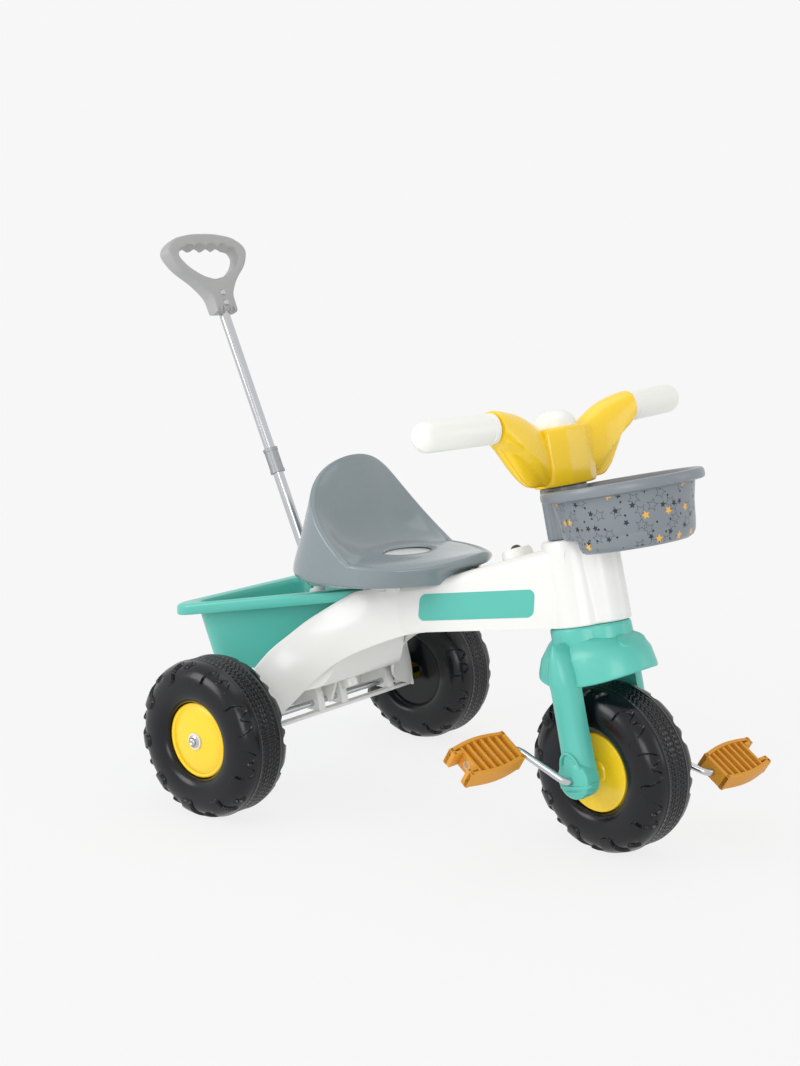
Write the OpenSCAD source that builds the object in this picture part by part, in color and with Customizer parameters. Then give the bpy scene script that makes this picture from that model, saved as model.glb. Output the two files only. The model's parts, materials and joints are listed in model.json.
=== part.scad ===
// Toddler push-along trike as a jointed assembly.
// Millimetres, +Z up, +X towards the front wheel, +Y to the rider's left, floor at z = 0.

/* [Wheels] */
// Radius of all three wheels over the tread
wheel_r = 95; // [88:1:102]
// Width of a tyre
tyre_w = 75; // [64:1:84]
// Radius of the tyre shoulder
tyre_shoulder = 19; // [14:1:24]
// Radius of the coloured hub disc
hub_r = 46; // [38:1:52]
// Depth of the hub face inside the tyre side
hub_inset = 8; // [5:0.5:12]
// Distance between the rear wheel mid planes
track = 406; // [396:1:420]
// Distance between rear and front axles
wheelbase = 430; // [422:1:440]
// Radius of the rear axle and of the crank rod
axle_r = 4; // [3:0.1:5]

/* [Steering] */
// Lean of the steering column towards the seat
rake = 13; // [10:0.5:16]
// Steering angle of the rest pose, to the rider's right
steer_rest = -8.5; // [-14:0.5:0]
// Height of the lower end of the head along the column
head_low = 165; // [162:0.5:169]
// Length of the head along the column
head_len = 97; // [92:0.5:102]
// Radius of the steering column tube
column_r = 12.5; // [10:0.1:14]
// Wall of the two plain bearings in the head
bush_wall = 5.5; // [4:0.1:7]
// Length of each plain bearing
bush_len = 18; // [12:0.5:26]
// Inner gap between the fork legs
fork_gap = 90; // [86:1:96]
// Thickness of a fork leg
leg_t = 24; // [18:0.5:27]
// Width of a fork leg
leg_w = 44; // [40:1:50]

/* [Pedals] */
// Throw of each crank
crank_throw = 61; // [54:1:66]
// Rest angle of the right crank, from straight ahead
crank_rest = 132; // [115:1:150]
// Departure of the left crank from straight opposite
crank_skew = 14; // [0:1:20]
// Pedal length along the spindle
pedal_len = 82; // [74:1:90]
// Pedal width across the foot
pedal_w = 50; // [46:1:56]
// Pedal thickness
pedal_t = 20; // [17:0.5:24]
// Tilt of the pedals in the rest pose, front edge down
pedal_tilt = 45; // [20:1:60]

/* [Handlebar] */
// Distance from the column to the inner end of a grip
grip_in = 108; // [104:1:114]
// Length of a hand grip
grip_len = 104; // [90:1:112]
// Radius of a hand grip
grip_r = 17; // [14:0.5:18]
// Height of the handlebar hub
hub_h = 65; // [58:0.5:72]
// Radius of the horn button
horn_r = 24; // [18:0.5:24.5]
// Travel of the horn button
horn_travel = 4; // [2.5:0.1:5]

/* [Seat] */
// Half width of the seat
seat_half = 103; // [95:1:108]
// Reach of the seat ahead of its middle
seat_front = 126; // [120:1:132]
// Height of the seat rim at the sides
seat_rim = 303; // [300:0.5:308]
// Height of the backrest above the side rim
back_rise = 112; // [98:1:120]
// Wall of the moulded pieces
skin_t = 3.2; // [2.6:0.1:3.8]

/* [Frame] */
// Half width of the beam at its lower edge
beam_half = 40; // [37:0.5:43]
// Half length of the rear crossbeam
cross_half = 160; // [154:1:163]
// Height of the beam top at the boss ahead of the seat
beam_top = 319; // [316:0.5:322]

/* [Bucket] */
// Half width of the bucket at the rear rim
bucket_half = 141; // [132:1:146]
// Reach of the bucket behind the rear axle
bucket_back = 154; // [146:1:160]
// Height of the bucket floor
bucket_floor = 140; // [139:0.5:146]

/* [Push handle] */
// Lean of the push tube to the rear
tube_lean = 24.9; // [21:0.1:26]
// Radius of the push tube
tube_r = 7; // [6:0.1:8]
// Length of the tube above the socket mouth
tube_out = 380; // [345:1:405]
// Half width of the push grip
push_half = 70; // [64:1:78]
// Height of the push grip
push_h = 110; // [102:1:118]
// Thickness of the push grip
push_t = 20; // [18:0.5:24]

/* [Basket] */
// Reach of the basket rim ahead of the column
basket_front = 178; // [170:1:186]
// Half width of the basket rim
basket_half = 86; // [80:1:94]
// Depth of the basket below its rim
basket_depth = 73; // [66:1:76]

/* [Hidden] */
$fn = 48;
// running clearance of a turning or sliding fit
run = 0.06;
// clearance of two pieces that are fixed together
fix = 0.03;
// gap between bodies that pass each other
gap = 0.5;
head_high = head_low + head_len;
bush_r = column_r + bush_wall;
half_track = track / 2;
hub_face = half_track + tyre_w / 2 - hub_inset;
front_face = tyre_w / 2 - hub_inset;
// the turned front wheel leans a little, so its axle sits slightly higher
lean = asin(sin(abs(steer_rest)) * sin(rake));
flat_half = tyre_w / 2 - tyre_shoulder;
front_z = (wheel_r - tyre_shoulder) * cos(lean) + tyre_shoulder + flat_half * sin(lean);
leg_in = fork_gap / 2;
leg_out = leg_in + leg_t;
neck_top = head_high + gap + 58;
bar_low = neck_top + 0.2;
bar_top = bar_low + hub_h;
basket_top = neck_top - 2.5;
basket_low = basket_top - basket_depth;
basket_mid = 85;
lip_h = 12;
boss_x = wheelbase - 132;
beam_end = wheelbase - 45;
bar_x = 3;
horn_low = bar_top - 14;
// lower end of the push tube mouth, in the rear axle frame
mouth = [-13.8, 0, 236];
tube_low = -118;
collar_mid = 176;
grip_low = tube_out;
// whole length, to place the origin at the middle of the outline
nose_x = max([for (p = basket_ring(-3, basket_top - lip_h)) wheelbase - p[2] * sin(rake)
  + (p[0] * cos(steer_rest) - p[1] * sin(steer_rest)) * cos(rake)]);
tail_x = mouth[0] - (tube_out + push_h) * sin(tube_lean) - push_t / 2 * cos(tube_lean);
mid_x = (nose_x + tail_x) / 2;
white = [0.93, 0.93, 0.92];
teal = [0.30, 0.73, 0.68];
grey = [0.45, 0.50, 0.53];
slate = [0.50, 0.52, 0.56];
yellow = [1.0, 0.83, 0.20];
ochre = [0.80, 0.54, 0.14];
steel = [0.75, 0.75, 0.76];
black = [0.09, 0.09, 0.10];

// Piece to show, all for the whole trike

// frames of reference

module placed() {
  translate([-mid_x, 0, 0]) children();
}

module steered() {
  translate([wheelbase - mid_x, 0, front_z])
    rotate([0, -rake, 0])
      rotate([0, 0, steer_rest])
        children();
}

module head_frame() {
  translate([wheelbase - mid_x, 0, front_z])
    rotate([0, -rake, 0])
      children();
}

module along_tube() {
  placed()
    translate(mouth)
      rotate([0, -tube_lean, 0])
        children();
}

// rod along Y between two distances
module y_rod(r, y0, y1) {
  translate([0, y0, 0])
    rotate([-90, 0, 0])
      cylinder(r = r, h = y1 - y0);
}

// rod between two points
module rod(a, b, r) {
  d = b - a;
  len = norm(d);
  translate(a)
    rotate([0, acos(d[2] / len), atan2(d[1], d[0])])
      cylinder(r = r, h = len);
}

// small maths

function lerp(a, b, t) = a + (b - a) * t;
function pow_sign(v, e) = v < 0 ? -pow(-v, e) : pow(v, e);
function clamp(v) = max(0, min(1, v));

// smooth curve through a short list of points
function curve_at(p, i, t) = let (
    n = len(p),
    a = p[max(0, i - 1)],
    b = p[i],
    c = p[min(n - 1, i + 1)],
    d = p[min(n - 1, i + 2)]
  ) 0.5 * ((2 * b) + (c - a) * t + (2 * a - 5 * b + 4 * c - d) * t * t + (3 * b - a - 3 * c + d) * t * t * t);
function curve(p, k) = concat(
  [for (i = [0 : len(p) - 2]) for (j = [0 : k - 1]) curve_at(p, i, j / k)],
  [p[len(p) - 1]]);

// closed outline from corners given as x, y, radius
function unit(v) = v / norm(v);
function wrap(a) = a > 180 ? a - 360 : a < -180 ? a + 360 : a;
function corner_arc(p, a, b, r, k) = let (
    u = unit(a - p),
    v = unit(b - p),
    half = acos(u * v) / 2,
    c = p + unit(u + v) * r / sin(half),
    t0 = p + u * r / tan(half) - c,
    t1 = p + v * r / tan(half) - c,
    a0 = atan2(t0[1], t0[0]),
    turn = wrap(atan2(t1[1], t1[0]) - a0)
  ) [for (j = [0 : k]) c + r * [cos(a0 + turn * j / k), sin(a0 + turn * j / k)]];
function outline(c, k) = let (n = len(c)) [
  for (i = [0 : n - 1])
    for (q = corner_arc(
        [c[i][0], c[i][1]],
        [c[(i + n - 1) % n][0], c[(i + n - 1) % n][1]],
        [c[(i + 1) % n][0], c[(i + 1) % n][1]],
        c[i][2], k)) q];

// solids skinned over rings of points that all have the same count

function side_faces(m, n) = [
  for (i = [0 : m - 2]) for (j = [0 : n - 1]) let (
      a = i * n + j,
      b = i * n + (j + 1) % n,
      c = (i + 1) * n + (j + 1) % n,
      d = (i + 1) * n + j
    ) each [[a, d, c], [a, c, b]]];
function mean(r) = [for (k = [0 : 2]) let (s = [for (p = r) p[k]]) s * [for (p = r) 1] / len(r)];

// ends closed by fans round the middle of the end ring
module skin_fan(rings) {
  m = len(rings);
  n = len(rings[0]);
  pts = concat([for (r = rings) each r], [mean(rings[0]), mean(rings[m - 1])]);
  low = [for (j = [0 : n - 1]) [m * n, j, (j + 1) % n]];
  high = [for (j = [0 : n - 1]) [m * n + 1, (m - 1) * n + (j + 1) % n, (m - 1) * n + j]];
  polyhedron(points = pts, faces = concat(side_faces(m, n), low, high), convexity = 8);
}

// ends closed strip by strip, for rings that go out along one path and back along another
module skin_band(rings) {
  m = len(rings);
  n = len(rings[0]);
  low = [for (k = [0 : n / 2 - 2]) each [[k, k + 1, n - 2 - k], [k, n - 2 - k, n - 1 - k]]];
  o = (m - 1) * n;
  high = [for (k = [0 : n / 2 - 2]) each
    [[o + k, o + n - 2 - k, o + k + 1], [o + k, o + n - 1 - k, o + n - 2 - k]]];
  polyhedron(points = [for (r = rings) each r], faces = concat(side_faces(m, n), low, high), convexity = 8);
}

// rings that close on themselves in both directions
module skin_loop(rings) {
  m = len(rings);
  n = len(rings[0]);
  join = [for (j = [0 : n - 1]) let (
      a = (m - 1) * n + j,
      b = (m - 1) * n + (j + 1) % n,
      c = (j + 1) % n,
      d = j
    ) each [[a, d, c], [a, c, b]]];
  polyhedron(points = [for (r = rings) each r], faces = concat(side_faces(m, n), join), convexity = 8);
}

// patch of points made solid by moving it along one direction
module thick_patch(rows, d) {
  skin_band([for (r = rows) concat(r, [for (k = [len(r) - 1 : -1 : 0]) r[k] + d])]);
}

// frame

function beam_low_at(x) = 222 + (x - 200) * 0.18;
function beam_top_at(x) = x > 200
  ? beam_top + (x - boss_x) * 0.36
  : beam_top - (boss_x - 200) * 0.36 + (x - 200) * 0.24;
function beam_ring(x) = let (
    lo = beam_low_at(x),
    hi = beam_top_at(x),
    up = beam_half - 4,
    t = skin_t
  ) [
    [x, beam_half, lo], [x, up, hi - 11], [x, up - 3, hi - 4], [x, up - 10, hi],
    [x, -up + 10, hi], [x, -up + 3, hi - 4], [x, -up, hi - 11], [x, -beam_half, lo],
    [x, -beam_half + t, lo], [x, -up + t, hi - 11.5], [x, -up + 3 + t * 0.7, hi - 4 - t * 0.7],
    [x, -up + 10.5, hi - t], [x, up - 10.5, hi - t], [x, up - 3 - t * 0.7, hi - 4 - t * 0.7],
    [x, up - t, hi - 11.5], [x, beam_half - t, lo]];

// ridge and lower edge of a hip, from the beam out to the wheel
function hip_ridge() = [
  [150, beam_half - 3.5, 267], [118, beam_half - 1, 262], [92, 45, 256], [72, 48, 245], [50, 56, 230],
  [32, 70, 215], [19, 88, 199], [8, 110, 182], [2, 136, 160], [0, cross_half - 1, 144]];
function hip_edge() = [
  [190, beam_half - 1, 219.5], [165, beam_half, 213], [142, 44, 204], [118, 52, 193], [95, 61, 181],
  [72, 70, 165], [50, 81, 143], [32, 96, 118], [20, 122, 96], [14, cross_half - 1, 84]];
function hip_rows() = let (r = curve(hip_ridge(), 2), e = curve(hip_edge(), 2)) [
  for (i = [len(r) - 1 : -1 : 0]) [
    for (k = [0 : 5]) lerp(e[i], r[i], k / 5)
      + sin(180 * k / 5) * (3 + 5 * sin(180 * clamp(i / 18))) * [0.5, 0.6, 0.35]]];

module hip() {
  thick_patch(hip_rows(), [-2.6, -1.9, -2.2]);
  // deck behind the ridge, under the bucket side
  r = hip_ridge();
  thick_patch([for (i = [9 : -1 : 6])
    [[r[i][0] - 0.6, r[i][1] - 0.5, r[i][2] - 0.7], [-38, r[i][1] - 0.5, r[i][2] - 22]]],
    [0, -0.5, -3.4]);
}

module hips() {
  hip();
  mirror([0, 1, 0]) hip();
}

module rear_wall() {
  translate([-36, 0, 0])
    rotate([0, -90, 0])
      linear_extrude(4)
        polygon([
          [82.5, -cross_half + 1], [121, -cross_half + 1], [137, -134], [159, -110], [176, -87], [134, -84],
          [134, 84], [176, 87], [159, 110], [137, 134], [121, cross_half - 1], [82.5, cross_half - 1]]);
}

module end_plate() {
  translate([0, cross_half, 0])
    rotate([90, 0, 0])
      linear_extrude(4)
        polygon([[-41, 82], [16, 82], [2, 146.5], [-41, 124]]);
}

module cross_rib(y, top) {
  translate([0, y + 6, 0])
    rotate([90, 0, 0])
      linear_extrude(12)
        polygon([[-38, 86], [13, 86], [8, 108], [-2, top], [-38, top]]);
}

module keel() {
  translate([0, 3, 0])
    rotate([90, 0, 0])
      linear_extrude(6)
        polygon([[152, 222], [152, 266], [104, 254], [62, 134], [-38, 134], [-38, 92], [30, 92], [104, 178]]);
}

// two-lobed column of the head
module head_body() {
  translate([0, 0, head_low]) {
    cylinder(r1 = 42, r2 = 36, h = head_len);
    translate([31, 0, 0]) cylinder(r1 = 25, r2 = 24, h = head_len);
  }
}

module main_frame() {
  color(white) difference() {
    union() {
      placed() {
        skin_band([for (x = [104, 200, beam_end]) beam_ring(x)]);
        hips();
        rear_wall();
        end_plate();
        mirror([0, 1, 0]) end_plate();
        cross_rib(22, 133);
        cross_rib(-22, 133);
        cross_rib(115, 150);
        cross_rib(-115, 150);
        keel();
        // lip under the axle
        translate([5, -cross_half + 2, 83]) cube([9.5, 2 * cross_half - 4, 4.5]);
        // axle bosses by the wheels
        translate([0, 0, wheel_r]) y_rod(10, -cross_half - 1.5, -cross_half + 20);
        translate([0, 0, wheel_r]) y_rod(10, cross_half - 20, cross_half + 1.5);
        // boss ahead of the seat
        translate([boss_x, 0, beam_top - 8]) cylinder(r1 = 17, r2 = 15, h = 22);
      }
      head_frame() head_body();
      // socket for the push tube
      along_tube() translate([0, 0, -132]) cylinder(r = tube_r + 4, h = 136);
    }
    head_frame() {
      translate([0, 0, head_low - 1]) cylinder(r = column_r + 1.5, h = head_len + 2);
      translate([0, 0, head_low - 1]) cylinder(r = bush_r + fix, h = bush_len + 1);
      translate([0, 0, head_high - bush_len]) cylinder(r = bush_r + fix, h = bush_len + 1);
    }
    placed() {
      translate([0, 0, wheel_r]) y_rod(axle_r + fix, -cross_half - 5, cross_half + 5);
      translate([boss_x, 0, beam_top - 20]) cylinder(r = 3 + fix, h = 40);
      translate([seat_bolt_x(0), 0, beam_top_at(seat_bolt_x(0)) - 10]) cylinder(r = 3 + fix, h = 30);
      translate([seat_bolt_x(1), 0, beam_top_at(seat_bolt_x(1)) - 10]) cylinder(r = 3 + fix, h = 30);
      translate([-20, 22, 115]) cylinder(r = 2 + fix, h = 25);
      translate([-20, -22, 115]) cylinder(r = 2 + fix, h = 25);
    }
    along_tube() translate([0, 0, tube_low - 0.4]) cylinder(r = tube_r + run, h = 140);
  }
}

// seat, a moulded scoop with a skirt all round and an oval hand hole

seat_mid = 125;
seat_n = 48;
hole_mid = seat_mid + 8;
hole_half = 26;
hole_wide = 38;
function seat_bolt_x(i) = hole_mid + hole_half + (i == 0 ? 73 : 31);
function seat_plan(a, front, rear, half, power) = let (c = cos(a), s = sin(a)) c >= 0
  ? [seat_mid + front * c, half * s * (1 - 0.45 * pow(c, 3))]
  : [seat_mid - rear * pow(-c, 2 / power), half * pow_sign(s, 2 / power)];
function back_part(a) = pow(clamp(-cos(a)), 0.88);
function seat_edge(a, grow) =
  seat_plan(a, seat_front + grow, 178.5 - 94.5 * back_part(a) + grow, seat_half + grow, 2.22);
function seat_foot(a, grow) = seat_plan(a, seat_front - 23 + grow, 129 + grow, seat_half + 3 + grow, 3);
function seat_low(a) = 265 + (seat_foot(a, 0)[0] - 4) * 0.09 + 17 * pow(max(0, cos(a)), 6);
function seat_high(a) = seat_rim + 15.5 * pow(max(0, cos(a)), 4) + back_rise * back_part(a);
function seat_floor(x) = seat_rim + 4.2 + (x - seat_mid) * 0.02;
function hole_at(a) = let (x = hole_mid + hole_half * cos(a), y = hole_wide * sin(a)) [x, y, seat_floor(x)];
function seat_ring(k) = [for (j = [0 : seat_n - 1]) let (
    a = 360 * j / seat_n,
    hi = seat_high(a),
    rim = seat_edge(a, 0),
    in = seat_edge(a, -8),
    h = hole_at(a),
    m1 = lerp([in[0], in[1]], [h[0], h[1]], 0.36),
    m2 = lerp([in[0], in[1]], [h[0], h[1]], 0.70),
    drop1 = lerp(seat_floor(m1[0]), hi, 0.30),
    drop2 = lerp(seat_floor(m2[0]), hi, 0.05),
    low = seat_foot(a, 0),
    low_in = seat_foot(a, -skin_t),
    mid = lerp(low, rim, 0.5),
    mid_in = lerp(low_in, seat_edge(a, -skin_t), 0.5),
    out = unit([m1[0] - hole_mid, m1[1]])
  )
  k == 0 ? [low[0], low[1], seat_low(a)]
  : k == 1 ? [mid[0], mid[1], lerp(seat_low(a), hi, 0.55)]
  : k == 2 ? [rim[0], rim[1], hi - 3]
  : k == 3 ? [lerp(rim, in, 0.35)[0], lerp(rim, in, 0.35)[1], hi]
  : k == 4 ? [in[0], in[1], hi - 1 - 2 * clamp(-cos(a))]
  : k == 5 ? [m1[0], m1[1], drop1]
  : k == 6 ? [m2[0], m2[1], drop2]
  : k == 7 ? h
  : k == 8 ? [h[0], h[1], h[2] - skin_t]
  : k == 9 ? [m2[0] + out[0], m2[1] + out[1], drop2 - skin_t]
  : k == 10 ? [m1[0] + 2.6 * out[0], m1[1] + 2.6 * out[1], drop1 - skin_t]
  : k == 11 ? [lerp(rim, in, 0.5)[0], lerp(rim, in, 0.5)[1], hi - 4 - skin_t]
  : k == 12 ? [mid_in[0], mid_in[1], lerp(seat_low(a), hi, 0.5)]
  : [low_in[0], low_in[1], seat_low(a)]];

module seat() {
  color(grey) placed() difference() {
    union() {
      skin_loop([for (k = [0 : 13]) seat_ring(k)]);
      for (i = [0, 1])
        translate([seat_bolt_x(i), 0, beam_top_at(seat_bolt_x(i)) + 4])
          cylinder(r = 9, h = seat_floor(seat_bolt_x(i)) - beam_top_at(seat_bolt_x(i)) - 5);
    }
    for (i = [0, 1])
      translate([seat_bolt_x(i), 0, beam_top_at(seat_bolt_x(i)) - 1]) cylinder(r = 3 + fix, h = 13.5);
  }
}

// bolt with its head below, pointing up
module bolt_up(len, r, head_r, head_h) {
  cylinder(r = r, h = len);
  translate([0, 0, -head_h]) cylinder(r = head_r, h = head_h);
}

module seat_bolt(i) {
  x = seat_bolt_x(i);
  color(steel) placed() translate([x, 0, beam_top_at(x) - skin_t - 2.6]) bolt_up(17, 3, 6, 4);
}

module seat_bolt_front() {
  seat_bolt(0);
}

module seat_bolt_rear() {
  seat_bolt(1);
}

module beam_bolt() {
  color(steel) placed() translate([boss_x, 0, beam_top + 14.1]) {
    translate([0, 0, -30]) cylinder(r = 3, h = 31);
    intersection() {
      cylinder(r = 6.5, h = 5);
      translate([0, 0, -6]) sphere(r = 11);
    }
  }
}

module rear_axle() {
  color(steel) placed() translate([0, 0, wheel_r]) y_rod(axle_r, -hub_face - 6, hub_face + 6);
}

module axle_cap() {
  color(steel) placed() translate([0, hub_face + 2.4, wheel_r]) rotate([-90, 0, 0]) difference() {
    union() {
      cylinder(r = 7.5, h = 2);
      cylinder(r1 = 6.4, r2 = 5.4, h = 5.5);
    }
    translate([0, 0, -1]) cylinder(r = axle_r + fix, h = 4.7);
  }
}

module axle_cap_left() {
  axle_cap();
}

module axle_cap_right() {
  mirror([0, 1, 0]) axle_cap();
}

module axle_washer() {
  color(white) placed() translate([0, hub_face + 0.5, wheel_r]) rotate([-90, 0, 0]) difference() {
    cylinder(r = 10, h = 1.8);
    translate([0, 0, -1]) cylinder(r = axle_r + fix, h = 4);
  }
}

module axle_washer_left() {
  axle_washer();
}

module axle_washer_right() {
  mirror([0, 1, 0]) axle_washer();
}

module head_bush(z) {
  color(white) head_frame() translate([0, 0, z]) difference() {
    cylinder(r = bush_r, h = bush_len);
    translate([0, 0, -1]) cylinder(r = column_r + run, h = bush_len + 2);
  }
}

module head_bush_upper() {
  head_bush(head_high - bush_len);
}

module head_bush_lower() {
  head_bush(head_low);
}

// bucket

function bucket_rim_z(x) = 219 + (x + bucket_back) * 0.16;
function bucket_plan(grow, k) = outline([
  [-bucket_back - grow, bucket_half + grow, 26], [-bucket_back - grow, -bucket_half - grow, 26],
  [94 + grow, -34 - grow, 14], [94 + grow, 34 + grow, 14]], k);
function bucket_base(grow, k) = outline([
  [-bucket_back + 29 - grow, bucket_half - 36 + grow, 26],
  [-bucket_back + 29 - grow, -bucket_half + 36 - grow, 26],
  [54 + grow, -27 - grow, 12], [54 + grow, 27 + grow, 12]], k);
function bucket_level(p, dz) = [for (q = p) [q[0], q[1], bucket_rim_z(q[0]) + dz]];
function flat(p, z) = [for (q = p) [q[0], q[1], z]];

module bucket() {
  k = 9;
  t = skin_t;
  color(teal) placed() difference() {
    skin_fan([
      flat(bucket_base(-8, k), bucket_floor), flat(bucket_base(0, k), bucket_floor + 5),
      bucket_level(bucket_plan(-17, k), -7), bucket_level(bucket_plan(-4, k), -5),
      bucket_level(bucket_plan(-3, k), -14), bucket_level(bucket_plan(0, k), -14),
      bucket_level(bucket_plan(1, k), -4), bucket_level(bucket_plan(-2, k), 0),
      bucket_level(bucket_plan(-15, k), 0), bucket_level(bucket_plan(-20, k), -3),
      bucket_level(bucket_plan(-17 - t, k), -8),
      flat(bucket_base(-t, k), bucket_floor + 6), flat(bucket_base(-8 - t, k), bucket_floor + t)]);
    translate(mouth) rotate([0, -tube_lean, 0]) translate([0, 0, -150]) cylinder(r = tube_r + 4.3, h = 150);
    for (y = [-22, 22]) translate([-20, y, bucket_floor - 5]) cylinder(r = 2 + fix, h = 20);
  }
}

module bucket_screw() {
  color(steel) placed() translate([-20, 22, 0]) {
    translate([0, 0, bucket_floor + skin_t + 0.1]) cylinder(r = 4.5, h = 2.5);
    translate([0, 0, bucket_floor - 20]) cylinder(r = 2, h = 20 + skin_t + 0.2);
  }
}

module bucket_screw_left() {
  bucket_screw();
}

module bucket_screw_right() {
  mirror([0, 1, 0]) bucket_screw();
}

// push handle

module tube(z0, z1, wall) {
  color(steel) along_tube() translate([0, 0, z0]) difference() {
    cylinder(r = tube_r, h = z1 - z0);
    translate([0, 0, -1]) cylinder(r = tube_r - wall, h = z1 - z0 + 2);
  }
}

module lower_tube() {
  tube(tube_low, collar_mid, 1.2);
}

module upper_tube() {
  tube(collar_mid + 0.2, grip_low + 34, 1.2);
}

module joint_collar() {
  color(steel) along_tube() translate([0, 0, collar_mid - 16]) difference() {
    union() {
      cylinder(r = tube_r + 2, h = 33);
      cylinder(r = tube_r + 2.6, h = 4);
      translate([0, 0, 29]) cylinder(r = tube_r + 2.6, h = 4);
    }
    translate([0, 0, -1]) cylinder(r = tube_r + fix, h = 35);
  }
}

// half outline of the push grip as half width, height
function push_side() = let (w = push_half, h = push_h) curve([
  [20, 0], [19, 12], [22, 25], [w * 0.52, h * 0.4],
  [w * 0.81, h * 0.56], [w - 3, h * 0.69], [w, h * 0.79], [w - 8, h * 0.885], [w * 0.66, h - 5],
  [w * 0.33, h - 1], [0, h]], 3);
function push_open() = let (w = push_half, h = push_h) curve([[0, h * 0.43], [w * 0.29, h * 0.465],
  [w * 0.55, h * 0.56], [w * 0.71, h * 0.67], [w * 0.725, h * 0.75], [w * 0.6, h * 0.81], [0, h * 0.82]], 3);

module mirrored_outline(half) {
  n = len(half);
  polygon(concat(half, [for (i = [n - 1 : -1 : 0]) [-half[i][0], half[i][1]]]));
}

module handle_grip() {
  color([0.62, 0.62, 0.62]) along_tube() translate([0, 0, grip_low]) difference() {
    union() {
      translate([-push_t / 2, 0, 0]) rotate([90, 0, 90]) linear_extrude(push_t) difference() {
        mirrored_outline(push_side());
        mirrored_outline(push_open());
        for (i = [-1.5 : 1 : 1.5])
          translate([i * push_half * 0.276, push_h * 0.8]) circle(r = push_half * 0.112);
      }
    }
    translate([0, 0, -1]) cylinder(r = tube_r + fix, h = 36);
    for (z = [12, 26]) translate([5, 0, z]) rotate([0, 90, 0]) cylinder(r = 2 + fix, h = 20);
  }
}

module grip_screw(z) {
  color(steel) along_tube() translate([tube_r + 0.4, 0, grip_low + z]) rotate([0, 90, 0]) {
    cylinder(r = 2, h = push_t / 2 - tube_r - 0.2);
    translate([0, 0, push_t / 2 - tube_r - 0.3]) cylinder(r1 = 4.2, r2 = 3.2, h = 1.8);
  }
}

module grip_screw_lower() {
  grip_screw(12);
}

module grip_screw_upper() {
  grip_screw(26);
}

// fork with its mudguard, in the column frame

function guard_plan(front, rear, half, k) = outline([
  [front, half, half - 5], [-rear, half, half - 13], [-rear, -half, half - 13], [front, -half, half - 5]], k);
function guard_edge(p, dz) = [for (q = p) let (u = q[0] / 79)
  [q[0], q[1], 100 + dz + 10 * pow(clamp(u), 2) + 14 * pow(clamp(-u / 0.78), 2)]];

// half-round leg section between two heights
module leg_section(grow, z0, z1) {
  translate([0, leg_in, z0])
    scale([1, (leg_t + grow) / (leg_w / 2 + 1.6 + grow), 1])
      cylinder(r = leg_w / 2 + 1.6 + grow, h = z1 - z0);
}

module fork_leg() {
  intersection() {
    translate([0, leg_in, 0]) rotate([-90, 0, 0]) linear_extrude(leg_t) {
      translate([0, -120]) circle(r = leg_w / 2 + 1);
      circle(r = leg_w / 2 - 2);
      polygon([[-leg_w / 2 - 1, -120], [leg_w / 2 + 1, -120], [leg_w / 2 - 2, 0], [-leg_w / 2 + 2, 0]]);
    }
    leg_section(0, -leg_w, 160);
  }
}

module fork() {
  k = 6;
  top = head_low - gap;
  half = leg_in + 8;
  color(teal) steered() difference() {
    union() {
      translate([0, 0, 118]) cylinder(r1 = 42, r2 = 41, h = top - 118);
      translate([31, 0, 118]) cylinder(r1 = 28, r2 = 26, h = top - 118);
      skin_fan([
        flat(guard_plan(62, 44, half - 12, k), 124), guard_edge(guard_plan(75.6, 60, half - 3.4, k), 0.5),
        guard_edge(guard_plan(79, 64, half, k), 0), guard_edge(guard_plan(78, 62, half - 1, k), 8),
        flat(guard_plan(72, 54, half - 4, k), 134), flat(guard_plan(62, 44, half - 14, k), 148)]);
      fork_leg();
      mirror([0, 1, 0]) fork_leg();
    }
    translate([0, 0, 121]) cylinder(r = column_r + fix, h = 80);
    y_rod(axle_r + run, -leg_out - 5, leg_out + 5);
    // slot that lets the axle in from below
    translate([-axle_r - run, -leg_out - 5, -60]) cube([2 * (axle_r + run), 2 * leg_out + 10, 60]);
  }
}

// ridge of a clip, round the outside of the leg
module clip_band(w, z0, z1, grow) {
  intersection() {
    difference() {
      leg_section(grow, z0, z1);
      leg_section(0.1, z0 - 1, z1 + 1);
    }
    translate([-w, leg_in + 6, z0]) cube([2 * w, leg_t + 10, z1 - z0]);
  }
}

module axle_clip() {
  difference() {
    union() {
      translate([-axle_r + fix, leg_in + 0.5, -leg_w / 2 + 3])
        cube([2 * axle_r - 2 * fix, leg_t, leg_w / 2 - 3]);
      clip_band(leg_w * 0.36, -15, -10, 3.2);
      clip_band(leg_w * 0.42, -9, -5.6, 3.6);
    }
    y_rod(axle_r + run, leg_in - 1, leg_out + 10);
  }
}

module axle_clip_left() {
  color(teal) steered() axle_clip();
}

module axle_clip_right() {
  color(teal) steered() mirror([0, 1, 0]) axle_clip();
}

module steering_column() {
  color(steel) steered() difference() {
    translate([0, 0, 122]) cylinder(r = column_r, h = bar_low + 38 - 122);
    translate([0, 0, 121]) cylinder(r = column_r - 1.6, h = 400);
    translate([0, 0, bar_low + 22]) y_rod(2.5 + fix, -40, 40);
  }
}

module column_pin() {
  color(steel) steered() translate([0, 0, bar_low + 22]) y_rod(2.5, -24, 24);
}

// handlebar

function oval(cx, rx, ry, z, n) = [for (j = [0 : n - 1]) let (a = 360 * j / n)
  [cx + rx * pow_sign(cos(a), 0.75), ry * pow_sign(sin(a), 0.75), z]];
function arm_ring(p, n) = [for (j = [0 : n - 1]) let (a = 360 * j / n)
  [p[0] + p[3] * cos(a), p[1], p[2] + p[4] * sin(a)]];
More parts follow.
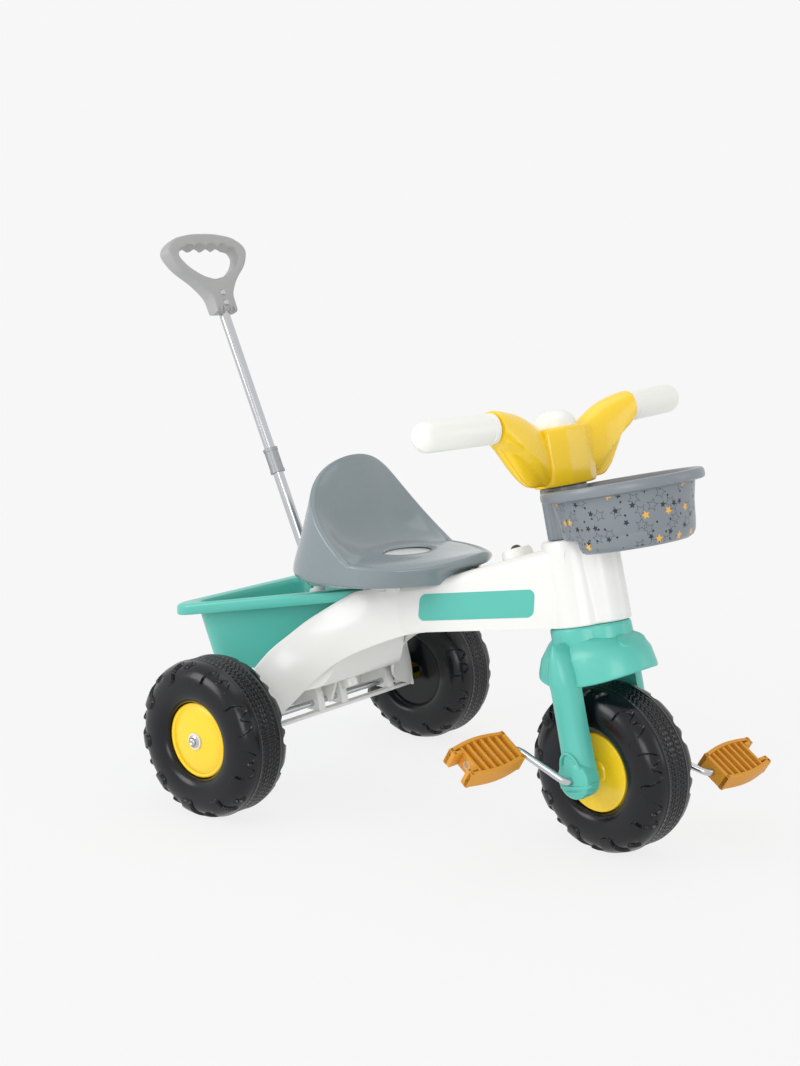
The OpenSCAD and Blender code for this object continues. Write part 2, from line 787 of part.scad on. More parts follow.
// stations of one arm: x, y, z, half depth, half height
function arm_path() = curve([
  [bar_x, 12, bar_low + 33, 20, 29], [bar_x + 3, 36, bar_low + 36, 21, 32.5],
  [bar_x + 5.5, 60, bar_low + 43, 21, 38],
  [bar_x + 8, 78, bar_low + 54, 20, 34.5], [bar_x + 10, 94, bar_low + 68, 19, 24],
  [bar_x + 11.6, grip_in, bar_low + 75, 18.5, 18.6],
  [bar_x + 11.8, grip_in + 5, bar_low + 75, 18.5, 18.6]], 3);
grip_base = [bar_x + 11.6, grip_in, bar_low + 75];
grip_turn = 6.8;
grip_rise = 1.9;

module on_grip() {
  translate(grip_base) rotate([-90 + grip_rise, 0, 0]) rotate([0, -grip_turn, 0]) children();
}

module arm() {
  p = arm_path();
  skin_fan([for (i = [len(p) - 1 : -1 : 0]) arm_ring(p[i], 24)]);
}

module handlebar() {
  n = 32;
  color(yellow) steered() difference() {
    union() {
      skin_fan([
        oval(bar_x, 25, 30, bar_low, n), oval(bar_x, 27, 32, bar_low + 3, n),
        oval(bar_x, 28.5, 35, bar_low + hub_h * 0.5, n), oval(bar_x, 29, 37, bar_top - 3, n),
        oval(bar_x, 27.5, 35.5, bar_top, n)]);
      arm();
      mirror([0, 1, 0]) arm();
    }
    translate([0, 0, bar_low - 1]) cylinder(r = column_r + fix, h = 40);
    translate([bar_x, 0, horn_low - 6]) cylinder(r = horn_r + run, h = 60);
    translate([0, 0, bar_low + 22]) y_rod(2.5 + fix, -24.5, 24.5);
    for (s = [0, 1]) mirror([0, s, 0]) on_grip() {
      translate([0, 0, -20]) cylinder(r = 9 + fix, h = 40);
      // the arm ends square to the grip
      cylinder(r = 32, h = 30);
    }
  }
}

module grip() {
  on_grip() {
    translate([0, 0, 0.6]) cylinder(r = grip_r, h = grip_len - grip_r - 0.6);
    translate([0, 0, -18]) cylinder(r = 9, h = 20);
    translate([0, 0, grip_len - grip_r]) sphere(r = grip_r);
  }
}

module grip_left() {
  color(white) steered() grip();
}

module grip_right() {
  color(white) steered() mirror([0, 1, 0]) grip();
}

// basket

function basket_ring(grow, z) = [for (j = [0 : 47]) let (a = 360 * j / 48)
  [basket_mid + (basket_front - basket_mid + grow) * cos(a), (basket_half + grow) * sin(a), z]];

// room over the head, behind the deep part of the tub
module head_step(t) {
  translate([-50, -100, basket_low - 10]) cube([50 + 68 + t, 200, head_high + gap + t - basket_low + 10]);
}

module basket() {
  t = skin_t;
  top = basket_top;
  low = basket_low;
  neck_low = head_high + gap;
  color(slate) steered() difference() {
    union() {
      difference() {
        skin_fan([
          basket_ring(-32, low), basket_ring(-24, low + 2), basket_ring(-19, low + 8),
          basket_ring(-11, top - lip_h),
          basket_ring(-3, top - lip_h), basket_ring(-0.6, top - lip_h + 3), basket_ring(-1, top - 3),
          basket_ring(-3, top), basket_ring(-6, top)]);
        head_step(0);
      }
      translate([0, 0, neck_low]) cylinder(r = 27, h = neck_top - neck_low);
    }
    difference() {
      skin_fan([
        basket_ring(-32 - t, low + t), basket_ring(-24 - t, low + t + 2), basket_ring(-19 - t, low + 9),
        basket_ring(-11 - t, top - lip_h), basket_ring(-9 - t, top + 0.5)]);
      head_step(t);
      translate([0, 0, neck_low - 1]) cylinder(r = 27, h = neck_top - neck_low + 2);
    }
    translate([0, 0, head_high - 1]) cylinder(r = column_r + fix, h = 90);
  }
}

// horn

module horn_button() {
  color(white) steered() translate([bar_x, 0, 0]) difference() {
    union() {
      translate([0, 0, horn_low]) cylinder(r = horn_r, h = 16);
      intersection() {
        translate([0, 0, horn_low + 16]) cylinder(r = horn_r, h = 40);
        translate([0, 0, horn_low + 35 - 25]) sphere(r = 25);
      }
    }
    translate([0, 0, horn_low - 1]) cylinder(r = horn_r - 3, h = 14);
  }
}

module horn_spring() {
  // a plain sleeve stands in for the coil, which is not seen
  color(steel) steered() translate([bar_x, 0, horn_low - 6]) difference() {
    cylinder(r = 8, h = 18.6);
    translate([0, 0, -1]) cylinder(r = 6.8, h = 30);
  }
}

// wheels

module tyre_ring() {
  h = tyre_w / 2;
  s = tyre_shoulder;
  rotate([-90, 0, 0]) rotate_extrude($fn = 96) {
    difference() {
      union() {
        translate([hub_r + 0.1, -h + s]) square([wheel_r - hub_r - 0.1, 2 * h - 2 * s]);
        translate([hub_r + 9, -h]) square([wheel_r - s - hub_r - 9, 2 * h]);
        translate([hub_r + 0.1, -h + hub_inset + 2]) square([12, 2 * h - 2 * hub_inset - 4]);
        translate([wheel_r - s, h - s]) circle(r = s);
        translate([wheel_r - s, -h + s]) circle(r = s);
        translate([hub_r + 9, h - 8]) circle(r = 8);
        translate([hub_r + 9, -h + 8]) circle(r = 8);
      }
      translate([-50, -200]) square([50 + hub_r + 0.1, 400]);
    }
  }
}

// crowned disc with a boss, outer face at y = face, boss to y = inner
module hub_disc(face, inner, bore) {
  rotate([-90, 0, 0]) rotate_extrude($fn = 96) difference() {
    union() {
      polygon([[0, face - 5], [hub_r - 2, face - 9], [hub_r, face - 9], [hub_r, face - 5],
        [hub_r - 2, face - 3.5], [12, face], [0, face]]);
      translate([hub_r - 3, face - 24]) square([3, 18]);
      translate([0, inner]) square([11, face - inner]);
    }
    translate([-1, inner - 1]) square([1 + bore, face - inner + 2]);
  }
}

module rear_tyre() {
  color(black) placed() translate([0, half_track, wheel_r]) tyre_ring();
}

module rear_tyre_left() {
  rear_tyre();
}

module rear_tyre_right() {
  mirror([0, 1, 0]) rear_tyre();
}

module rear_hub() {
  color(yellow) placed() translate([0, 0, wheel_r]) hub_disc(hub_face, cross_half + 2.2, axle_r + run);
}

module rear_hub_left() {
  rear_hub();
}

module rear_hub_right() {
  mirror([0, 1, 0]) rear_hub();
}

module front_tyre() {
  color(black) steered() tyre_ring();
}

module front_hub() {
  hub_disc(front_face, 0.1, axle_r + fix);
}

module front_hub_left() {
  color(yellow) steered() front_hub();
}

module front_hub_right() {
  color(yellow) steered() mirror([0, 1, 0]) front_hub();
}

// pedals

crank_in = leg_out + 7;
crank_out = leg_out + 34;
spindle_in = crank_out + 8;
spindle_end = spindle_in + pedal_len - 3;
// direction of the right crank for 1, of the left crank for -1
function crank_dir(s) = let (a = crank_rest + (s < 0 ? 180 + crank_skew : 0))
  [cos(a), 0, sin(a)] * crank_throw;

module crank_side(s) {
  // s is -1 for the rider's right, 1 for the left
  d = crank_dir(-s);
  a = [0, s * crank_in, 0];
  b = [d[0], s * crank_out, d[2]];
  e = [d[0], s * spindle_end, d[2]];
  translate(a) sphere(r = axle_r + 0.2);
  rod(a, b, axle_r);
  translate(b) sphere(r = axle_r + 0.2);
  rod(b, e, axle_r);
}

module crank_axle() {
  color(steel) steered() {
    y_rod(axle_r, -crank_in, crank_in);
    crank_side(-1);
    crank_side(1);
  }
}

// pedal on its spindle, y from the inner end outwards, sides bowed
module pedal_body() {
  bar = 5;
  n = 6;
  notch = 13;
  w = pedal_w / 2;
  pitch = (pedal_len - notch - bar) / n;
  difference() {
    translate([0, 0, -pedal_t / 2]) linear_extrude(pedal_t) polygon(concat(
      [for (i = [0 : 8]) [w - 5 + 5 * sin(180 * i / 8), pedal_len * i / 8]],
      [for (i = [8 : -1 : 0]) [-w + 5 - 5 * sin(180 * i / 8), pedal_len * i / 8]]));
    for (i = [0 : n - 1])
      for (s = [0, 1])
        mirror([s, 0, 0]) translate([7, bar + i * pitch, -pedal_t]) cube([w - 17, pitch - bar, 2 * pedal_t]);
    // notch in the outer end
    translate([-10, pedal_len - notch, -pedal_t]) cube([20, notch + 5, 2 * pedal_t]);
    y_rod(axle_r + run, -5, pedal_len + 5);
  }
}

module pedal(s) {
  d = crank_dir(-s);
  color(ochre) steered() translate([d[0], s * spindle_in, d[2]])
    rotate([0, pedal_tilt, 0]) mirror([0, s < 0 ? 1 : 0, 0]) pedal_body();
}

module pedal_left() {
  pedal(1);
}

module pedal_right() {
  pedal(-1);
}

module pedal_cap(s) {
  d = crank_dir(-s);
  color(steel) steered() translate([d[0], s * (spindle_in + pedal_len - 12.5), d[2]])
    rotate([s > 0 ? -90 : 90, 0, 0]) difference() {
      cylinder(r = axle_r + 2.5, h = 11);
      translate([0, 0, -1]) cylinder(r = axle_r + fix, h = 10.8);
    }
}

module pedal_cap_left() {
  pedal_cap(1);
}

module pedal_cap_right() {
  pedal_cap(-1);
}

// drawing

main_frame();
seat();
seat_bolt_front();
seat_bolt_rear();
beam_bolt();
rear_axle();
axle_cap_right();
axle_cap_left();
axle_washer_right();
axle_washer_left();
head_bush_upper();
head_bush_lower();
bucket();
bucket_screw_right();
bucket_screw_left();
lower_tube();
upper_tube();
joint_collar();
handle_grip();
grip_screw_upper();
grip_screw_lower();
fork();
axle_clip_right();
axle_clip_left();
steering_column();
column_pin();
handlebar();
grip_right();
grip_left();
basket();
horn_spring();
horn_button();
front_tyre();
front_hub_right();
front_hub_left();
crank_axle();
pedal_cap_right();
pedal_cap_left();
pedal_right();
pedal_left();
rear_tyre_right();
rear_hub_right();
rear_tyre_left();
rear_hub_left();
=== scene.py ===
"""Looks of a toddler push-along trike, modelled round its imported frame.

The file is laid out as an add-on. Lengths inside the builders are millimetres in straight local frames
(rear axle, head, steered column, push tube), and each finished mesh is moved into place in metres.
"""
import json
import math
from math import cos, pi, sin

import bpy
from bpy.props import FloatProperty, FloatVectorProperty, PointerProperty
from mathutils import Matrix, Vector


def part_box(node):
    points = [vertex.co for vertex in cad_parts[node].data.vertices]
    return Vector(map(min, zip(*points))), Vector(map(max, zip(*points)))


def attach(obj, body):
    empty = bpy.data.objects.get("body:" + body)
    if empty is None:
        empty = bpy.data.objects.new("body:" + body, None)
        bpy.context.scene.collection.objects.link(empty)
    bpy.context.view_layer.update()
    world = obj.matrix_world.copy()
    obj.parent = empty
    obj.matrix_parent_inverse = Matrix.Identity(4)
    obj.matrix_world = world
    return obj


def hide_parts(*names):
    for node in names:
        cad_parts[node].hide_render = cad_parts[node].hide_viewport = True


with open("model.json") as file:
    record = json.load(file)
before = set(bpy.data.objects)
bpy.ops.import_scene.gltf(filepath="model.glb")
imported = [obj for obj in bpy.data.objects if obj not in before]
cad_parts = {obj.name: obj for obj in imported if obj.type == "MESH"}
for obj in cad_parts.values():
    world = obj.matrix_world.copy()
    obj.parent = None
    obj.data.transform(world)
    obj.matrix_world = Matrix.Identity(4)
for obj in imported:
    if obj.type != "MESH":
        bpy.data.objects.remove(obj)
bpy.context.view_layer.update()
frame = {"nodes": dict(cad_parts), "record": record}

bl_info = {
    "name": "Toddler push-along trike",
    "version": (1, 0, 0),
    "blender": (4, 5, 0),
    "location": "View3D > Sidebar > Trike",
    "description": "Builds the moulded, turned and bent pieces of a toddler trike and a plain studio",
    "category": "Object",
}

MM = 0.001
joints = {joint["name"]: joint for joint in frame["record"]["behaviour"]["joints"]}


def axes(origin, y_axis, z_axis):
    """Matrix from a local frame in millimetres to the row frame in metres."""
    y, z = Vector(y_axis).normalized(), Vector(z_axis).normalized()
    made = Matrix((y.cross(z), y, z)).transposed().to_4x4()
    made.translation = Vector(origin)
    return made @ Matrix.Scale(MM, 4)


def middle(name):
    """Middle of a CAD node's box."""
    lo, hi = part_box(name)
    return (Vector(lo) + Vector(hi)) / 2


def shift(x, y, z):
    """Move along the three axes."""
    return Matrix.Translation((x, y, z))


def spin(degrees, axis):
    """Turn about an axis."""
    return Matrix.Rotation(math.radians(degrees), 4, axis)


Y = (0, 1, 0)
SIDES = (("right", -1), ("left", 1))
# mouth of the push tube's socket, behind the rear axle and above the floor, in millimetres
SOCKET_BACK, SOCKET_HIGH = 13.8, 236
# ring cup on the beam's top and bend of that top, ahead of the rear axle, in millimetres
CUP_AHEAD, CUP_HIGH, BEAM_BEND = 298, 319, 200
# height of the beam's lower edge under the bend, and slopes of lower edge, top and top behind the bend
BEAM_LOW, LOW_SLOPE, TOP_SLOPE, REAR_SLOPE = 222, 0.18, 0.36, 0.24
# radius of head and crown, and reach of the lobe in front of them
HEAD_R, LOBE_REACH = 42, 31
# wall of the mouldings, and the radius at which a turned profile meets its axis
WALL, POLE = 3.2, 0.01
# steps of a fine circle
ROUND = 96
# height on the film's map for faces that carry no film
OFF_FILM = -1000

AXLE_X = middle("rear_axle").x
FRONT = joints["front_wheel_spin"]["pos_m"]
COLUMN = joints["steering_turn"]["axis"]
SPINDLE = joints["front_wheel_spin"]["axis"]
TUBE = joints["push_handle_lift"]["axis"]
REAR_FRAME = axes((AXLE_X, 0, 0), Y, (0, 0, 1))
HEAD_FRAME = axes(FRONT, Y, COLUMN)
STEERED_FRAME = axes(FRONT, SPINDLE, COLUMN)
TUBE_FRAME = axes((AXLE_X - SOCKET_BACK * MM, 0, SOCKET_HIGH * MM), Y, TUBE)
MIRROR = Matrix.Scale(-1, 4, Y)
# the ring cup stands square to the beam's top
CUP_PLACE = shift(CUP_AHEAD, 0, CUP_HIGH) @ spin(-20, "Y") @ spin(90, "X")


def sided(sign):
    """Mirror across Y for the right side, nothing for the left."""
    return MIRROR if sign < 0 else Matrix()


def beam_low(x):
    """Lower edge of the beam."""
    return BEAM_LOW + (x - BEAM_BEND) * LOW_SLOPE


def beam_top(x):
    """Upper edge of the beam ahead of its bend."""
    return CUP_HIGH + (x - CUP_AHEAD) * TOP_SLOPE


def linear(hex_code):
    """Linear RGBA of an sRGB hex value."""
    parts = [int(hex_code[i:i + 2], 16) / 255 for i in (1, 3, 5)]
    return tuple(c / 12.92 if c <= 0.04045 else ((c + 0.055) / 1.055) ** 2.4 for c in parts) + (1.0,)


def size(name, default, about):
    """Length property in millimetres."""
    return FloatProperty(name=name, description=about, default=default, min=0.1)


def colour(name, hex_code, about):
    """Colour property with a linear default."""
    return FloatVectorProperty(name=name, description=about, subtype="COLOR", size=4, min=0, max=1,
                               default=linear(hex_code))


class TRIKE_PG_sizes(bpy.types.PropertyGroup):
    """Sizes in millimetres, as in the part's source."""
    wheel_r: size("Wheel radius", 95, "Radius over the raised tread")
    tyre_w: size("Tyre width", 75, "Width of a tyre")
    hub_r: size("Hub radius", 46, "Radius of the coloured hub disc")
    hub_inset: size("Hub inset", 8, "Depth of the hub face inside the tyre side")
    track: size("Track", 406, "Distance between the rear wheel mid planes")
    axle_r: size("Axle radius", 4, "Radius of the axle and crank rod")
    head_low: size("Head foot", 165, "Height of the head's foot along the column")
    head_high: size("Head top", 262, "Height of the head's top along the column")
    leg_in: size("Fork half gap", 45, "Half the gap between the fork legs")
    leg_t: size("Leg thickness", 24, "Thickness of a fork leg")
    leg_w: size("Leg width", 44, "Width of a fork leg")
    bar_low: size("Bar foot", 320.7, "Height of the handlebar hub's foot along the column")
    grip_in: size("Grip start", 108, "Distance from the column to the inner end of a grip")
    grip_len: size("Grip length", 104, "Length of a hand grip")
    grip_r: size("Grip radius", 17, "Radius of a hand grip")
    seat_half: size("Seat half width", 103, "Half width of the seat rim")
    seat_front: size("Seat reach", 126, "Reach of the seat ahead of its middle")
    seat_rim: size("Seat rim", 303, "Height of the seat rim at the sides")
    back_rise: size("Backrest", 112, "Height of the backrest above the side rim")
    beam_half: size("Beam half width", 40, "Half width of the beam at its lower edge")
    cross_half: size("Crossbeam half length", 160, "Half length of the rear crossbeam")
    bucket_half: size("Bucket half width", 141, "Half width of the bucket at the rear rim")
    bucket_back: size("Bucket reach", 154, "Reach of the bucket behind the rear axle")
    basket_front: size("Basket reach", 178, "Reach of the basket rim ahead of the column")
    basket_half: size("Basket half width", 86, "Half width of the basket rim")
    push_start: size("Grip foot", 380, "Distance from the socket to the push grip")
    push_half: size("Push grip half width", 70, "Half width of the push grip")
    push_h: size("Push grip height", 110, "Height of the push grip")
    push_t: size("Push grip thickness", 20, "Thickness of the push grip")
    pedal_len: size("Pedal length", 82, "Pedal length along the spindle")
    pedal_w: size("Pedal width", 50, "Pedal width across the foot")
    pedal_t: size("Pedal thickness", 20, "Pedal thickness")


class TRIKE_PG_colours(bpy.types.PropertyGroup):
    """Colours of the mouldings."""
    frame: colour("Frame", "#EDEDEA", "White frame moulding")
    seat: colour("Seat", "#7F8B90", "Slate grey seat")
    teal: colour("Teal", "#5AC0B2", "Bucket and fork")
    yellow: colour("Yellow", "#FFD424", "Handlebar and hubs")
    white: colour("White", "#F0F0EA", "Grips and horn button")
    basket: colour("Basket", "#7E858C", "Basket moulding")
    push: colour("Push grip", "#A6A6A6", "Grey push grip")
    ochre: colour("Ochre", "#D9962A", "Pedals")
    tyre: colour("Tyre", "#0B0C11", "Black blow-moulded tyres")
    metal: colour("Metal", "#C6C7CA", "Plated tube and rods")
    floor: colour("Floor", "#F7F7F7", "Floor and background")


def sizes():
    """Sizes of this scene."""
    return bpy.context.scene.trike_sizes


def colours():
    """Colours of this scene."""
    return bpy.context.scene.trike_colours


# maths of the shapes


def lerp(a, b, t):
    """Point between two points."""
    return tuple(p + (q - p) * t for p, q in zip(a, b))


def power(value, exponent):
    """Power that keeps the sign."""
    return math.copysign(abs(value) ** exponent, value)


def step(edge, value, soft):
    """Smooth step from 0 to 1 about an edge."""
    t = min(1.0, max(0.0, (value - edge) / soft + 0.5))
    return t * t * (3 - 2 * t)


def turns(count):
    """Angles of a full turn."""
    return [math.tau * i / count for i in range(count)]


def fan(angle, count):
    """Angles from zero to an angle, both included."""
    return [angle * i / count for i in range(count + 1)]


def circle(radius, z):
    """Fine circle at a height."""
    return [(radius * cos(a), radius * sin(a), z) for a in turns(ROUND)]


def spline(points, k, closed=False):
    """Smooth curve through points of any dimension, with k steps between two of them."""
    n = len(points)
    made = []
    for i in range(n if closed else n - 1):
        if closed:
            a, b, c, d = (points[(i + j) % n] for j in (-1, 0, 1, 2))
        else:
            a, b, c, d = points[max(0, i - 1)], points[i], points[i + 1], points[min(n - 1, i + 2)]
        for j in range(k):
            t = j / k
            made.append(tuple(0.5 * (2 * q + (r - p) * t + (2 * p - 5 * q + 4 * r - s) * t * t
                                     + (3 * q - p - 3 * r + s) * t ** 3) for p, q, r, s in zip(a, b, c, d)))
    if not closed:
        made.append(tuple(points[-1]))
    return made


def capped(rows):
    """Rows closed by a point in the middle of the end rows."""
    def pole(row):
        mean = tuple(sum(p[i] for p in row) / len(row) for i in range(3))
        return [[lerp(p, mean, 0.5) for p in row], [mean] * len(row)]
    return pole(rows[0])[::-1] + rows + pole(rows[-1])


def corner_ring(corners, k):
    """Closed outline through corners given as x, y, radius."""
    made = []
    n = len(corners)
    for i in range(n):
        p, a, b = (Vector(corners[(i + j) % n][:2]) for j in (0, -1, 1))
        r = corners[i][2]
        u, v = (a - p).normalized(), (b - p).normalized()
        half = u.angle(v) / 2
        c = p + (u + v).normalized() * (r / sin(half))
        start = p + u * (r / math.tan(half)) - c
        end = p + v * (r / math.tan(half)) - c
        sweep = math.atan2(start.x * end.y - start.y * end.x, start.dot(end))
        for j in range(k + 1):
            a = math.atan2(start.y, start.x) + sweep * j / k
            made.append((c.x + r * cos(a), c.y + r * sin(a)))
    return made


def two_lobes(r1, r2, z):
    """Outline of a round column with a smaller lobe in front of it, the notches filled softly."""
    soft = 3.0
    made = []
    for a in turns(ROUND):
        r = r1
        inside = r2 * r2 - (LOBE_REACH * sin(a)) ** 2
        if inside > 0 and cos(a) > 0:
            far = LOBE_REACH * cos(a) + math.sqrt(inside)
            fill = max(0.0, soft - abs(far - r1)) / soft
            r = max(r1, far) + fill * fill * soft / 4
        made.append((r * cos(a), r * sin(a), z))
    return made


# modelling steps


def deselect():
    """Leaves edit mode and selects nothing."""
    if bpy.context.object and bpy.context.object.mode != "OBJECT":
        bpy.ops.object.mode_set(mode="OBJECT")
    bpy.ops.object.select_all(action="DESELECT")


def select(*objs):
    """Selects these objects alone and makes the first one active."""
    deselect()
    for obj in objs:
        obj.select_set(True)
    bpy.context.view_layer.objects.active = objs[0]


def edit():
    """Opens the active mesh with all of it selected."""
    bpy.ops.object.mode_set(mode="EDIT")
    bpy.ops.mesh.select_all(action="SELECT")


def close(obj):
    """Merges the seams and poles of a mesh and turns its faces outwards."""
    select(obj)
    edit()
    bpy.ops.mesh.remove_doubles(threshold=0.001)
    bpy.ops.mesh.normals_make_consistent(inside=False)
    bpy.ops.object.mode_set(mode="OBJECT")
    return obj


def apply(obj, kind, **settings):
    """Adds a modifier with its settings and applies it."""
    select(obj)
    made = obj.modifiers.new(kind.title(), kind)
    for key, value in settings.items():
        setattr(made, key, value)
    bpy.ops.object.modifier_apply(modifier=made.name)


def placed(points):
    """Gives the active primitive's vertices their places."""
    obj = bpy.context.object
    obj.data.vertices.foreach_set("co", [c for point in points for c in point])
    obj.data.update()
    return obj


def sheet(rows, closed=True, looped=False):
    """Grid primitive shaped row by row; closed joins the row ends, looped joins first and last row."""
    rows = [list(row) + ([row[0]] if closed else []) for row in rows]
    if looped:
        rows.append(rows[0])
    deselect()
    bpy.ops.mesh.primitive_grid_add(x_subdivisions=len(rows[0]) - 1, y_subdivisions=len(rows) - 1)
    obj = placed([point for row in rows for point in row])
    return close(obj) if closed or looped else obj


def turned(profile, count=ROUND):
    """Closed profile of radius and height, spun about Y."""
    deselect()
    bpy.ops.mesh.primitive_circle_add(vertices=len(profile), fill_type="NOTHING")
    obj = placed([(r, y, 0) for r, y in profile])
    edit()
    bpy.ops.mesh.spin(steps=count, angle=math.tau, center=(0, 0, 0), axis=Y)
    return close(obj)


def block(lo, hi, bevel, segments=2):
    """Box primitive between two corners with rounded edges."""
    deselect()
    bpy.ops.mesh.primitive_cube_add(size=1)
    obj = bpy.context.object
    edit()
    bpy.ops.transform.resize(value=tuple(b - a for a, b in zip(lo, hi)))
    bpy.ops.transform.translate(value=tuple((a + b) / 2 for a, b in zip(lo, hi)))
    bpy.ops.mesh.bevel(offset=bevel, segments=segments)
    bpy.ops.object.mode_set(mode="OBJECT")
    return obj


def plate(outline, axis, start, thick, bevel=0.8):
    """Flat outline made solid along X or Y, with its edges rounded."""
    along_x = axis == "x"
    deselect()
    bpy.ops.mesh.primitive_circle_add(vertices=len(outline), fill_type="NGON")
    obj = placed([(start, u, v) if along_x else (u, start, v) for u, v in outline])
    edit()
    reach = (thick, 0, 0) if along_x else (0, thick, 0)
    bpy.ops.mesh.extrude_region_move(TRANSFORM_OT_translate={"value": reach})
    bpy.ops.mesh.select_all(action="SELECT")
    bpy.ops.mesh.normals_make_consistent(inside=False)
    bpy.ops.mesh.bevel(offset=bevel, segments=2)
    bpy.ops.object.mode_set(mode="OBJECT")
    return obj


def tube_along(path, radius, count):
    """Round rod along a path of points, closed at its ends."""
    points = [Vector(p) for p in path]
    rows = []
    side = None
    for i, p in enumerate(points):
        ahead = (points[min(i + 1, len(points) - 1)] - points[max(i - 1, 0)]).normalized()
        across = ahead.orthogonal() if side is None else side - ahead * side.dot(ahead)
        side = across.normalized()
        up = ahead.cross(side)
        rows.append([tuple(p + (side * cos(a) + up * sin(a)) * radius) for a in turns(count)])
    return sheet(capped(rows))


def moved(obj, matrix):
    """Moves a mesh in place and leaves its object at the origin."""
    obj.data.transform(matrix)
    obj.data.update()
    return obj


def copied(obj):
    """Copy with its own mesh."""
    made = obj.copy()
    made.data = obj.data.copy()
    bpy.context.collection.objects.link(made)
    return made


def both_sides(obj):
    """Piece and its mirror image across Y."""
    return [obj, close(moved(copied(obj), MIRROR))]


def joined(parts):
    """Joins the parts into the first of them."""
    select(*parts)
    if len(parts) > 1:
        bpy.ops.object.join()
    return parts[0]


def finish(parts, name, matrix, body, nodes, slot, angle=32, material=None):
    """Joins the parts, puts them in place, hangs them on their body, hides the CAD nodes they stand for and
    gives them their material, by default the one of their slot.
    """
    obj = joined(parts)
    obj.name = name
    obj.data.name = name
    moved(obj, matrix)
    if matrix.determinant() < 0:
        obj.data.flip_normals()
    bpy.ops.object.shade_smooth_by_angle(angle=math.radians(angle))
    obj.data.materials.clear()
    obj.data.materials.append(material or slot_material(slot))
    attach(obj, body)
    if nodes:
        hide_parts(*nodes)


# materials


def node(tree, kind, inputs=None, **settings):
    """Adds a node with its settings; inputs are values or output sockets."""
    made = tree.nodes.new(kind)
    for key, value in settings.items():
        setattr(made, key, value)
    for key, value in (inputs or {}).items():
        if isinstance(value, bpy.types.NodeSocket):
            tree.links.new(value, made.inputs[key])
        else:
            made.inputs[key].default_value = value
    return made


def shade(rgba, gain):
    """Lighter or darker colour."""
    return tuple(min(1.0, c * gain) for c in rgba[:3]) + (1.0,)


def calc(tree, operation, *values):
    """Result of a maths node."""
    return node(tree, "ShaderNodeMath", dict(enumerate(values)), operation=operation).outputs[0]


def noise(tree, place, grain, detail=2.0):
    """Noise with a grain of a real size in millimetres."""
    return node(tree, "ShaderNodeTexNoise",
                {"Vector": place, "Scale": 1 / (grain * MM), "Detail": detail}).outputs[0]


def blend(tree, share, first, second):
    """Mix of two colours."""
    return node(tree, "ShaderNodeMix", {0: share, 6: first, 7: second}, data_type="RGBA").outputs[2]


def empty(name):
    """New material without nodes, and its tree."""
    material = bpy.data.materials.new(name)
    material.use_nodes = True
    material.node_tree.nodes.clear()
    return material, material.node_tree


def skinned(tree, tint, fine, gloss, strength, depth, **look):
    """Surface with a fine pattern in its gloss and in a relief of a depth in millimetres."""
    sheen = node(tree, "ShaderNodeMapRange", {"Value": fine, "To Min": gloss[0], "To Max": gloss[1]})
    bump = node(tree, "ShaderNodeBump", {"Height": fine, "Strength": strength, "Distance": depth * MM})
    skin = node(tree, "ShaderNodeBsdfPrincipled", {
        "Base Color": tint, "Roughness": sheen.outputs[0], "Normal": bump.outputs[0],
        **{key.replace("_", " "): value for key, value in look.items()}})
    node(tree, "ShaderNodeOutputMaterial", {"Surface": skin.outputs[0]})


def moulding(name, rgba, rough, grain=1.4, depth=0.05, coat=0.0, spread=0.05, shine=0.5):
    """Moulded plastic: broad flow clouds in the colour, fine grain in the gloss and the surface."""
    if name in bpy.data.materials:
        return bpy.data.materials[name]
    material, tree = empty(name)
    place = node(tree, "ShaderNodeTexCoord").outputs["Object"]
    clouds = noise(tree, place, 60, detail=3.0)
    tint = blend(tree, clouds, shade(rgba, 1 - spread), shade(rgba, 1 + spread))
    skinned(tree, tint, noise(tree, place, grain), (rough - 0.05, rough + 0.06), depth, 0.3,
            IOR=1.49, Specular_IOR_Level=shine, Coat_Weight=coat, Coat_Roughness=0.08)
    return material


def plated(name, rgba, rough):
    """Plated steel: fine polishing streaks along the rod in gloss and surface."""
    if name in bpy.data.materials:
        return bpy.data.materials[name]
    material, tree = empty(name)
    place = node(tree, "ShaderNodeTexCoord").outputs["Object"]
    # streaks are drawn out eight times along the height
    drawn = node(tree, "ShaderNodeMapping", {"Vector": place, "Scale": (1, 1, 0.12)}).outputs[0]
    tint = blend(tree, noise(tree, place, 25), shade(rgba, 0.93), shade(rgba, 1.03))
    skinned(tree, tint, noise(tree, drawn, 0.6), (rough * 0.7, rough * 1.4), 0.04, 0.2, Metallic=1.0)
    return material


